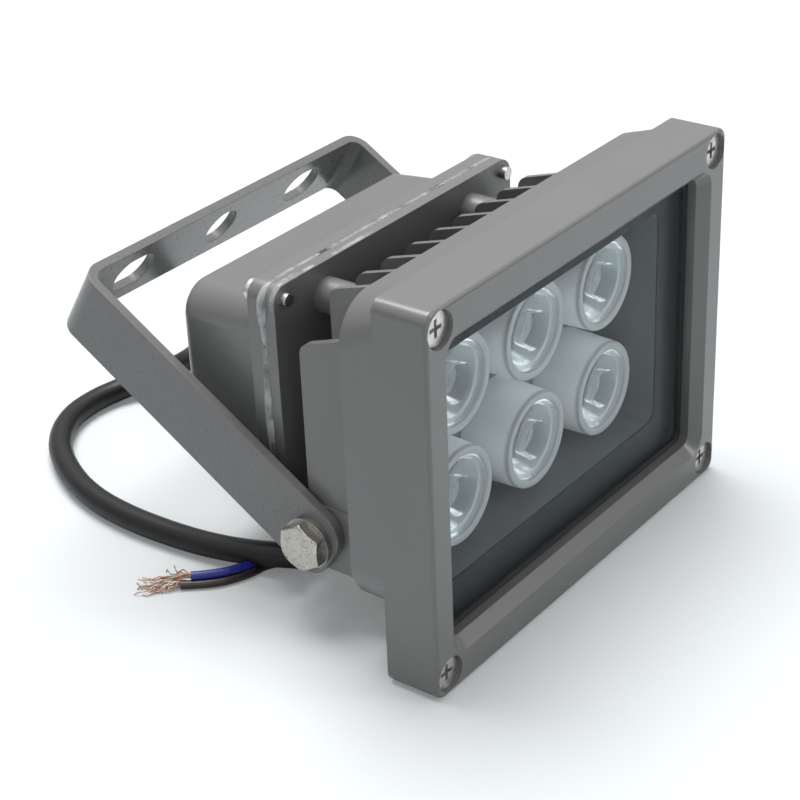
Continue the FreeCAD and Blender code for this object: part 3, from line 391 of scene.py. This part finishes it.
finishes["nickel_steel"] = plated("nickel_steel", (0.50, 0.48, 0.43), 0.30, 0.8, 0.40)
finishes["spring_steel"] = plated("spring_steel", (0.42, 0.41, 0.40), 0.34, 0.5, 0.45)
finishes["screw_steel"] = plated("screw_steel", (0.66, 0.65, 0.63), 0.30, 0.3, 0.6, relief=0.1)
finishes["zinc_steel"] = plated("zinc_steel", (0.62, 0.61, 0.60), 0.28, 0.4, 0.5)

red_copper, tin_grey = (0.34, 0.17, 0.10), (0.42, 0.36, 0.32)
copper, copper_shader, copper_wire = finish_base("bare_copper", red_copper, 0.30, metallic=1.0)
tinned = spread(grain(copper_wire, 420.0), 0.0, 1.0)
feed(copper_shader, "Base Color", tinned.mixed(with_alpha(red_copper), with_alpha(tin_grey)))
bumped(copper_shader, grain(copper_wire, 3000.0), 0.3, 0.00002)
finishes["bare_copper"] = copper
print("metals:", [name for name in finishes if name.endswith("steel")])

# %% [markdown]
# ## Things that let light through
#
# Real glass in a path tracer blocks the lamps' light, so thin clear pieces mix a
# Transparent shader with a glossy one. The share grows with the viewing angle: a pane
# reflects little when looked at straight on and much at a glancing angle. The sealant's
# share is a noise instead, because it is cloudy in places. The bright crescents in a real
# lens are reflections from inside the plastic, which a thin skin can't give, so the lens
# gets painted highlights: where its wall faces up right or down left, it turns more
# opaque white and adds a faint light of its own.

# %% A helper for every clear finish
def facing(wire, blend):
    """0 where a surface is seen straight on, 1 where it is seen edge on."""
    return wire.add("ShaderNodeLayerWeight", {}, {"Blend": blend}, output=1)


def see_through(name, colour, roughness, tint, share, **fixed):
    """A clear finish: transparent, with a glossy share that a function works out."""
    material, shader, wire = finish_base(name, colour, roughness, **fixed)
    clear = wire.add("ShaderNodeBsdfTransparent", {}, {"Color": with_alpha(tint)})
    skin = Wire(material.node_tree, shader.outputs[0])
    shown(material, wire.add("ShaderNodeMixShader", {}, {0: share(wire), 1: clear, 2: skin}))
    finishes[name] = material
    return shader, wire


print("helpers: facing, see_through")

# %% Mix the clear finishes
def painted_glints(wire):
    """Where two painted highlight crescents go: where a lens's wall faces up right or down left.
    """
    outward = wire.add("ShaderNodeNewGeometry", output=1)
    along = wire.add("ShaderNodeVectorMath", {"operation": "DOT_PRODUCT"},
                     {0: outward, 1: (0.45, -0.25, 0.86)}, output=1)
    return wire.add("ShaderNodeMapRange", {"interpolation_type": "SMOOTHSTEP"},
                    {"Value": along * along, "From Min": 0.62, "From Max": 0.85,
                     "To Min": 0.0, "To Max": 0.95})


pane_shader, pane_wire = see_through(
    "window_glass", (0.55, 0.60, 0.62), 0.04, (0.95, 0.97, 0.97),
    lambda wire: wire.math("POWER", facing(wire, 0.5), 5.0) * 0.85 + 0.008)
feed(pane_shader, "Roughness", spread(grain(pane_wire, 30.0), 0.02, 0.07))

lens_shader, lens_wire = see_through(
    "lens_clear", (0.95, 0.96, 0.97), 0.06, (0.93, 0.95, 0.96),
    lambda wire: wire.math("POWER", facing(wire, 0.5), 2.2) * 0.65 + painted_glints(wire) + 0.05,
    emission_strength=0.6)
# Painted highlight: the lens glows white in two crescents set by a fixed direction, not by the
# lamps.
painted_glint_glow = painted_glints(lens_wire) * spread(grain(lens_wire, 480.0), -0.5, 1.5)
feed(lens_shader, "Emission Color", painted_glint_glow.mixed((0.0, 0.0, 0.0, 1.0), (0.97, 1.0, 1.0, 1.0)))
bumped(lens_shader, grain(lens_wire, 260.0), 0.25, 0.0002)

sealant_shader, sealant_wire = see_through(
    "clear_sealant", (0.70, 0.71, 0.71), 0.16, (0.85, 0.86, 0.86),
    lambda wire: spread(grain(wire, 260.0), 0.10, 0.60), coat_weight=0.4)
bumped(sealant_shader, grain(sealant_wire, 500.0), 0.6, 0.0003)
print("all finishes:", len(finishes))

# %% [markdown]
# ## The floor
#
# A plane under the object catches its shadow. A part of what the camera sees of it is
# plain white light, so the sheet stays pale at its edges and still darkens near the
# object.

# %% Lay the floor
floor_mesh = bpy.data.meshes.new("pale_floor")
floor_corners = [(-3, -3, 0), (3, -3, 0), (3, 3, 0), (-3, 3, 0)]
floor_mesh.from_pydata(floor_corners, [], [(0, 1, 2, 3)])
floor = bpy.data.objects.new("pale_floor", floor_mesh)
scene.collection.objects.link(floor)
floor_finish, floor_shader, floor_wire = finish_base("floor_sheet", (0.65, 0.68, 0.69), 0.55)
floor_rays = floor_wire.add("ShaderNodeLightPath", output=0)
glow = floor_wire.add("ShaderNodeEmission", {}, {"Color": (1.0, 1.0, 1.0, 1.0), "Strength": 1.0})
paper = Wire(floor_finish.node_tree, floor_shader.outputs[0])
shown(floor_finish, floor_wire.add("ShaderNodeMixShader", {},
                                   {0: floor_rays * 0.14, 1: paper, 2: glow}))
floor_mesh.materials.append(floor_finish)
print("floor:", floor.name)

# %% [markdown]
# ## The supply cord
#
# A rubber cord is stiff enough to hold a wide loop but falls flat on the table. Its line
# is one NURBS spline through few points, out of the gland, down behind the box and round
# to its stripped end. An order of 3 keeps it close to the points without sharp bends.

# %% A helper for anything that is drawn as a cord
def cord_line(name, points, diameter, finish):
    """A round cord along a smooth NURBS line through given points."""
    data = bpy.data.curves.new(name, "CURVE")
    data.dimensions = "3D"
    data.bevel_depth = diameter / 2
    data.bevel_resolution = 6
    data.resolution_u = 10
    data.use_fill_caps = True
    spline = data.splines.new("NURBS")
    spline.points.add(len(points) - 1)
    for slot, point in zip(spline.points, points):
        slot.co = (*point, 1.0)
    spline.order_u = 3
    spline.use_endpoint_u = True
    spline.use_smooth = True
    data.materials.append(finish)
    line = bpy.data.objects.new(name, data)
    scene.collection.objects.link(line)
    return line


def placed(piece, *nodes, body="head"):
    """Let a new piece ride on a body and stand for the CAD nodes it replaces."""
    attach(piece, body)
    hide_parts(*nodes)
    return piece


print("helpers: cord_line, placed")

# %% Draw the cord
cord_diameter = 0.006
cord_route = [
    (0.0, 0.0871, 0.0340), (0.0, 0.0973, 0.0340), (0.0076, 0.1084, 0.0286),
    (0.0140, 0.1175, 0.0185), (0.0148, 0.1265, 0.0105), (0.0115, 0.1350, 0.0056),
    (0.0040, 0.1408, 0.0033), (-0.0050, 0.1429, 0.0030), (-0.0155, 0.1416, 0.0030),
    (-0.0250, 0.1358, 0.0030), (-0.0320, 0.1275, 0.0030), (-0.0378, 0.1170, 0.0030),
    (-0.0413, 0.1065, 0.0030), (-0.0428, 0.0955, 0.0030), (-0.0428, 0.0845, 0.0030),
    (-0.0420, 0.0745, 0.0030), (-0.0409, 0.0663, 0.0034), (-0.0396, 0.0595, 0.0040),
    (-0.0380, 0.0533, 0.0047), (-0.0363, 0.0485, 0.0052),
]
supply_cord = cord_line("supply_cord", cord_route, cord_diameter, finishes["cord_jacket"])
placed(supply_cord, "power_cord")
print("cord points:", len(cord_route))

# %% [markdown]
# ## The two stripped cores
#
# Where the jacket ends, a blue and a dark brown core fold back under it and run out along
# the table, the blue one on top. They are thinner cords with their own points.

# %% Draw the cores
core_diameter = 0.0021
blue_route = [
    (-0.0377, 0.0493, 0.0045), (-0.0364, 0.0474, 0.0042), (-0.0348, 0.0471, 0.0028),
    (-0.0342, 0.0489, 0.00125), (-0.0350, 0.0523, 0.0012), (-0.0365, 0.0571, 0.0016),
    (-0.0405, 0.0574, 0.0022), (-0.0445, 0.0586, 0.0027), (-0.0479, 0.0603, 0.0028),
    (-0.0511, 0.0632, 0.0028), (-0.0533, 0.0655, 0.0028),
]
brown_route = [
    (-0.0356, 0.0500, 0.0045), (-0.0343, 0.0478, 0.0041), (-0.0332, 0.0470, 0.0026),
    (-0.0328, 0.0490, 0.00125), (-0.0336, 0.0524, 0.00105), (-0.0383, 0.0561, 0.00105),
    (-0.0420, 0.0566, 0.00105), (-0.0454, 0.0579, 0.00105), (-0.0490, 0.0598, 0.00105),
    (-0.0523, 0.0629, 0.00105), (-0.0554, 0.0669, 0.00105),
]
blue_core = cord_line("blue_core", blue_route, core_diameter, finishes["core_blue"])
brown_core = cord_line("brown_core", brown_route, core_diameter, finishes["core_brown"])
placed(blue_core, "core_blue")
placed(brown_core, "core_brown")
print("cores:", blue_core.name, brown_core.name)

# %% [markdown]
# ## Frayed copper
#
# A core holds a bundle of hair-thin wires. Cut and handled, they spread, kink and cross
# each other. Each wire is a short poly-line that starts inside the insulation, follows
# the bundle's drift and wanders more the further it runs. A fixed seed keeps it the same.

# %% A helper that makes a draft a plain piece
def solid_copy(draft, name, finish):
    """Turn what a draft object evaluates to into a plain mesh piece, and drop the draft."""
    graph = bpy.context.evaluated_depsgraph_get()
    mesh = bpy.data.meshes.new_from_object(draft.evaluated_get(graph))
    mesh.materials.clear()
    mesh.materials.append(finish)
    piece = bpy.data.objects.new(name, mesh)
    scene.collection.objects.link(piece)
    bpy.data.objects.remove(draft)
    return piece


print("helper: solid_copy")

# %% Fray the strands
strand_radius = 0.00015
strand_steps = 7


def frayed(name, tip, headings, node, seed):
    """A bundle of thin kinked wires from the end of a core, as one mesh."""
    chance = random.Random(seed)
    data = bpy.data.curves.new(name, "CURVE")
    data.dimensions = "3D"
    data.bevel_depth = strand_radius
    data.bevel_resolution = 2
    for heading in headings:
        here = Vector(tip) + Vector([chance.uniform(-0.0005, 0.0005) for axis in range(3)])
        here.z = max(here.z, 0.0006)
        goal = Vector(heading)
        knots = [here - goal.normalized() * 0.0012]
        for step in range(1, strand_steps + 1):
            wander = 0.00010 + 0.00009 * step
            point = here + goal * (step / strand_steps)
            point += Vector([chance.uniform(-wander, wander) for axis in range(3)])
            point.z = max(0.00016, point.z + 0.0008 * math.sin(step * 0.9) * chance.random())
            knots.append(point)
        spline = data.splines.new("POLY")
        spline.points.add(len(knots) - 1)
        for slot, knot in zip(spline.points, knots):
            slot.co = (*knot, 1.0)
    draft = bpy.data.objects.new(name + "_draft", data)
    scene.collection.objects.link(draft)
    bundle = solid_copy(draft, name, finishes["bare_copper"])
    return placed(bundle, node)


blue_ends = [(-0.0046, 0.0086, -0.0020), (-0.0072, 0.0090, -0.0020), (-0.0091, 0.0096, -0.0020),
             (-0.0020, 0.0085, -0.0018), (0.0002, 0.0081, -0.0014), (-0.0080, 0.0064, -0.0020),
             (-0.0070, 0.0108, -0.0020), (0.0016, 0.0075, -0.0016), (-0.0054, 0.0063, -0.0018),
             (-0.0027, 0.0066, -0.0016), (-0.0043, 0.0104, -0.0020), (-0.0034, 0.0050, -0.0012)]
brown_ends = [(-0.0046, 0.0053, -0.0004), (-0.0072, 0.0063, -0.0004), (-0.0080, 0.0067, -0.0004),
              (-0.0024, 0.0049, -0.0003), (-0.0070, 0.0037, -0.0004), (-0.0061, 0.0089, -0.0004),
              (-0.0040, 0.0080, -0.0002), (-0.0049, 0.0035, -0.0002), (-0.0024, 0.0034, -0.0001),
              (-0.0078, 0.0052, -0.0004), (-0.0026, 0.0066, -0.0003), (-0.0032, 0.0024, 0.0000)]
blue_fray = frayed("blue_fray", blue_route[-1], blue_ends, "copper_blue", 11)
brown_fray = frayed("brown_fray", brown_route[-1], brown_ends, "copper_brown", 5)
print("wires:", len(blue_ends) + len(brown_ends))

# %% [markdown]
# ## Softened edges on the castings
#
# A CAD edge is perfectly sharp and catches no light. A casting's edges are rounded by
# the mould and the paint, and show as thin bright lines. The CAD mesh itself is left
# alone: a copy of it is merged, its flat triangles are joined, and a small bevel is
# rolled round every edge that is sharper than 35 degrees. The yoke's copy rides on the
# yoke, all others on the head.

# %% Round the edges
same_place = 2e-6
nearly_flat = math.radians(0.6)
sharp_edge = math.radians(35)


def softened(node, width, body):
    """A copy of a CAD node with its sharp edges rounded, as a piece that replaces it."""
    mesh = frame["nodes"][node].data.copy()
    cleaner = bmesh.new()
    cleaner.from_mesh(mesh)
    bmesh.ops.remove_doubles(cleaner, verts=cleaner.verts, dist=same_place)
    bmesh.ops.dissolve_limit(cleaner, angle_limit=nearly_flat, verts=cleaner.verts,
                             edges=cleaner.edges)
    cleaner.to_mesh(mesh)
    cleaner.free()
    mesh.shade_smooth()
    draft = bpy.data.objects.new(node + "_draft", mesh)
    scene.collection.objects.link(draft)
    rounding = draft.modifiers.new("Rounding", "BEVEL")
    rounding.width = width
    rounding.segments = 2
    rounding.limit_method = "ANGLE"
    rounding.angle_limit = sharp_edge
    rounding.miter_outer = "MITER_ARC"
    even = draft.modifiers.new("Even", "WEIGHTED_NORMAL")
    even.keep_sharp = False
    piece = solid_copy(draft, "rounded_" + node, finishes[slot_names[node]])
    return placed(piece, node, body=body)


for node, width, body in (
        ("front_bezel", 0.00030, "head"), ("heat_sink_housing", 0.00028, "head"),
        ("driver_box", 0.00030, "head"), ("rear_plate", 0.00025, "head"),
        ("mounting_bracket", 0.00035, "yoke"), ("cable_gland", 0.00025, "head"),
        ("gland_nut", 0.00025, "head"), ("pivot_bolt_left", 0.00018, "head"),
        ("pivot_bolt_right", 0.00018, "head")):
    rounded = softened(node, width, body)
    print(rounded.name, len(rounded.data.polygons), "faces")

# %% [markdown]
# ## A hair's gap behind the pane
#
# The printed border touches the pane's back, and two faces in one place flicker in a
# render. So the pane's copy ends 0.07 mm earlier, and the border's dark print shows.

# %% Thin the pane
hair = 0.00007
pane_mesh = frame["nodes"]["glass_pane"].data.copy()
pane_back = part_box("glass_pane")[1].y - hair
for vertex in pane_mesh.vertices:
    vertex.co.y = min(vertex.co.y, pane_back)
pane_mesh.materials.clear()
pane_mesh.materials.append(finishes["window_glass"])
pane = bpy.data.objects.new("thinned_pane", pane_mesh)
scene.collection.objects.link(pane)
placed(pane, "glass_pane")
print("the pane's back is at", round(pane_back * 1000, 2), "mm")

# %% [markdown]
# ## Six lenses and six holders
#
# Each lamp is a clear moulded collimator in a frosted holder, and all six are the same.
# So one of each is turned like a pot on a wheel, and a Geometry Nodes tree puts a copy
# on each crossing of a grid. The grid's pitches are measured on the frame.

# %% Turn a profile into a solid
crease = math.radians(38)


def lathe(name, profile, steps=72):
    """Turn a profile of (radius, depth) in millimetres about the line of sight."""
    shape = bmesh.new()
    points = [shape.verts.new((radius / 1000, depth / 1000, 0.0)) for radius, depth in profile]
    edges = [shape.edges.new(pair) for pair in zip(points, points[1:])]
    bmesh.ops.spin(shape, geom=points + edges, cent=(0, 0, 0), axis=(0, 1, 0),
                   angle=2 * math.pi, steps=steps, use_duplicate=False)
    bmesh.ops.remove_doubles(shape, verts=shape.verts, dist=1e-6)
    bmesh.ops.recalc_face_normals(shape, faces=shape.faces)
    mesh = bpy.data.meshes.new(name)
    shape.to_mesh(mesh)
    shape.free()
    mesh.shade_smooth()
    mesh.set_sharp_from_angle(angle=crease)
    pattern = bpy.data.objects.new(name, mesh)
    scene.collection.objects.link(pattern)
    return pattern


lens_profile = [
    (0.0, 2.4), (1.2, 2.5), (2.4, 2.8), (3.4, 3.2), (3.9, 3.3), (4.12, 3.0), (4.25, 1.8),
    (4.42, 0.4), (4.58, -0.1), (4.9, -0.25), (6.5, -0.15), (8.3, -0.25), (8.7, -0.35),
    (9.0, -0.25), (9.2, 0.0), (9.34, 0.3), (9.35, 1.4), (8.3, 1.5), (8.05, 3.0), (7.6, 4.8),
    (6.9, 6.8), (6.0, 8.7), (5.0, 10.1), (4.4, 10.6), (3.1, 10.6), (2.95, 8.0), (2.85, 6.6),
    (2.2, 6.15), (1.2, 5.85), (0.0, 5.75),
]
holder_profile = [
    (9.42, 0.6), (9.5, 0.25), (9.75, 0.08), (10.8, 0.0), (11.15, 0.15), (11.38, 0.6),
    (11.5, 4.0), (11.65, 8.5), (11.8, 12.6), (9.8, 12.6), (9.6, 8.0), (8.55, 3.2), (8.5, 1.95),
    (9.42, 1.9), (9.42, 0.6),
]
lens_pattern = lathe("lens_pattern", lens_profile)
holder_pattern = lathe("holder_pattern", holder_profile)
print("lens faces:", len(lens_pattern.data.polygons))

# %% Build the tree that repeats them
def grid_tree():
    """A Geometry Nodes tree: one pattern on each crossing of an upright grid."""
    tree = bpy.data.node_groups.new("lamp_grid", "GeometryNodeTree")
    for name, kind in (("Pattern", "NodeSocketObject"), ("Centre", "NodeSocketVector"),
                       ("Width", "NodeSocketFloat"), ("Height", "NodeSocketFloat"),
                       ("Columns", "NodeSocketInt"), ("Rows", "NodeSocketInt"),
                       ("Finish", "NodeSocketMaterial")):
        tree.interface.new_socket(name, in_out="INPUT", socket_type=kind)
    tree.interface.new_socket("Geometry", in_out="OUTPUT", socket_type="NodeSocketGeometry")
    given = tree.nodes.new("NodeGroupInput")
    result = tree.nodes.new("NodeGroupOutput")
    grid = tree.nodes.new("GeometryNodeMeshGrid")
    upright = tree.nodes.new("GeometryNodeTransform")
    upright.inputs["Rotation"].default_value = (math.pi / 2, 0.0, 0.0)
    pattern = tree.nodes.new("GeometryNodeObjectInfo")
    copies = tree.nodes.new("GeometryNodeInstanceOnPoints")
    real = tree.nodes.new("GeometryNodeRealizeInstances")
    coated = tree.nodes.new("GeometryNodeSetMaterial")
    for source, target in (
            (given.outputs["Width"], grid.inputs["Size X"]),
            (given.outputs["Height"], grid.inputs["Size Y"]),
            (given.outputs["Columns"], grid.inputs["Vertices X"]),
            (given.outputs["Rows"], grid.inputs["Vertices Y"]),
            (grid.outputs["Mesh"], upright.inputs["Geometry"]),
            (given.outputs["Centre"], upright.inputs["Translation"]),
            (upright.outputs["Geometry"], copies.inputs["Points"]),
            (given.outputs["Pattern"], pattern.inputs["Object"]),
            (pattern.outputs["Geometry"], copies.inputs["Instance"]),
            (copies.outputs["Instances"], real.inputs["Geometry"]),
            (real.outputs["Geometry"], coated.inputs["Geometry"]),
            (given.outputs["Finish"], coated.inputs["Material"]),
            (coated.outputs["Geometry"], result.inputs["Geometry"])):
        tree.links.new(source, target)
    return tree


lamp_grid = grid_tree()
print("tree nodes:", len(lamp_grid.nodes))

# %% [markdown]
# The tree's inputs belong to the modifier, and each is set by the identifier of its
# socket. The front of a lens, the holders' mouth and the middle of the grid are read from
# the frame.

# %% Repeat the lenses and the holders
def repeated(name, tree, pattern, values, finish):
    """Run a grid tree on an empty mesh and keep the result as a plain piece."""
    draft = bpy.data.objects.new(name + "_draft", bpy.data.meshes.new(name + "_draft"))
    scene.collection.objects.link(draft)
    modifier = draft.modifiers.new("Grid", "NODES")
    modifier.node_group = tree
    given = {"Pattern": pattern, "Finish": finish, **values}
    for item in tree.interface.items_tree:
        if item.in_out == "INPUT":
            modifier[item.identifier] = given[item.name]
    piece = solid_copy(draft, name, finish)
    bpy.data.objects.remove(pattern)
    return piece


def middle(node):
    """The middle of a node's box."""
    low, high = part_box(node)
    return (low + high) / 2


lamp_numbers = range(1, 7)
first, last = middle("lens_1"), middle("lens_6")
lens_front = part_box("lens_1")[0].y
pitch_box = {"Width": abs(last.x - first.x), "Height": abs(last.z - first.z),
             "Columns": 3, "Rows": 2}
centre = (first + last) / 2
lenses = repeated("lenses", lamp_grid, lens_pattern,
                  {**pitch_box, "Centre": (centre.x, lens_front, centre.z)},
                  finishes["lens_clear"])
placed(lenses, *(f"lens_{number}" for number in lamp_numbers))
holders = repeated("lens_holders", lamp_grid, holder_pattern,
                   {**pitch_box, "Centre": (centre.x, mouth, centre.z)},
                   finishes["holder_white"])
placed(holders, *(f"lens_holder_{number}" for number in lamp_numbers))
print("lenses:", len(lenses.data.polygons), "holders:", len(holders.data.polygons))

# %% [markdown]
# ## Squeezed-out sealant
#
# The seam between the rear plate and the box is sealed with clear silicone, pressed out
# by the screws. It is thick near one upper corner and almost nothing in other places.
# The bead is a ring of cross-sections round the plate, and its height wanders with a sum
# of slow waves, which is smooth and comes out the same each time.

# %% Say how high the bead stands
def swelling(place, middle_place, half_width):
    """A smooth hump of height 1 at one place on the way round."""
    return math.exp(-((place - middle_place) / half_width) ** 2)


def seam_height(place):
    """How far the bead on the seam stands out, in metres, at a share of the way round."""
    waves = (0.5 * math.sin(place * 46.0) + 0.35 * math.sin(place * 121.0 + 1.3)
             + 0.25 * math.sin(place * 263.0 + 0.4))
    lump = swelling(place, 0.315, 0.014) + 0.8 * swelling(place, 0.395, 0.030)
    return 0.00013 + 0.00009 * waves + 0.0008 * lump


def smear_height(place):
    """The same for the smear on the plate's front edge, near the upper left screw."""
    ripple = 0.75 + 0.25 * math.sin(place * 310.0) * math.sin(place * 87.0)
    smear = swelling(place, 0.285, 0.022) + 0.5 * swelling(place, 0.21, 0.03)
    return 0.0009 * smear * ripple - 0.0001


print("bead at the corner:", round(seam_height(0.315) * 1000, 2), "mm")

# %% Find the plate's outline
def plate_edge(radius=0.004, corner_steps=8, spacing=0.00065):
    """Places round the plate's rounded outline, with the direction that faces out."""
    low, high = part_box("rear_plate")
    corners = [(high.x - radius, high.z - radius, 0), (low.x + radius, high.z - radius, 90),
               (low.x + radius, low.z + radius, 180), (high.x - radius, low.z + radius, 270)]
    ring = []
    for x, z, start in corners:
        for step in range(corner_steps + 1):
            angle = math.radians(start + 90 * step / corner_steps)
            ring.append((x + radius * math.cos(angle), z + radius * math.sin(angle),
                         math.cos(angle), math.sin(angle)))
    full = []
    for here, after in zip(ring, ring[1:] + ring[:1]):
        span = math.hypot(after[0] - here[0], after[1] - here[1])
        parts = max(1, round(span / spacing))
        for part in range(parts):
            share = part / parts
            full.append([a + (b - a) * share for a, b in zip(here, after)])
    return full


edge = plate_edge()
print("places round the plate:", len(edge))

# %% Lay the bead
section_steps = 8
seam_half_width = 0.0005
smear_set_back = 0.0008
sunk = 0.00005
root = 0.0003


def lay_bead(shape, centre_y, height_at):
    """Add one closed ring of half-round sections to a mesh in the making."""
    rings = []
    for number, (x, z, out_x, out_z) in enumerate(edge):
        height = max(0.0, height_at(number / len(edge)))
        half = seam_half_width + height * 0.8
        ring = []
        for step in range(section_steps + 1):
            angle = math.pi * step / section_steps
            out = height * math.sin(angle) - sunk
            ring.append(shape.verts.new((x + out_x * out, centre_y - half * math.cos(angle),
                                         z + out_z * out)))
        ring.append(shape.verts.new((x - out_x * root, centre_y, z - out_z * root)))
        rings.append(ring)
    for here, after in zip(rings, rings[1:] + rings[:1]):
        for index in range(len(here)):
            following = (index + 1) % len(here)
            shape.faces.new((here[index], here[following], after[following], after[index]))


def sealant():
    """The bead on the seam and the smear on the plate's front edge, as one piece."""
    shape = bmesh.new()
    low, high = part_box("sealant_bead")
    lay_bead(shape, (low.y + high.y) / 2, seam_height)
    lay_bead(shape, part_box("rear_plate")[0].y + smear_set_back, smear_height)
    bmesh.ops.recalc_face_normals(shape, faces=shape.faces)
    mesh = bpy.data.meshes.new("squeezed_sealant")
    shape.to_mesh(mesh)
    shape.free()
    mesh.shade_smooth()
    mesh.materials.append(finishes["clear_sealant"])
    piece = bpy.data.objects.new("squeezed_sealant", mesh)
    scene.collection.objects.link(piece)
    return placed(piece, "sealant_bead")


bead = sealant()
print("bead faces:", len(bead.data.polygons))

# %% [markdown]
# ## Finishes on everything else
#
# The pieces whose CAD shape is already right keep it. Only their material slots change,
# by the slot name that the record gives each piece.

# %% Dress the remaining pieces
for name, slot_name in slot_names.items():
    node = frame["nodes"][name]
    for slot in node.material_slots:
        slot.material = finishes[slot_name]
    if not node.material_slots:
        node.data.materials.append(finishes[slot_name])
print("dressed nodes:", len(slot_names))

# %% [markdown]
# ## Finish
#
# The dressed model is meant to stay inside the CAD model's box.
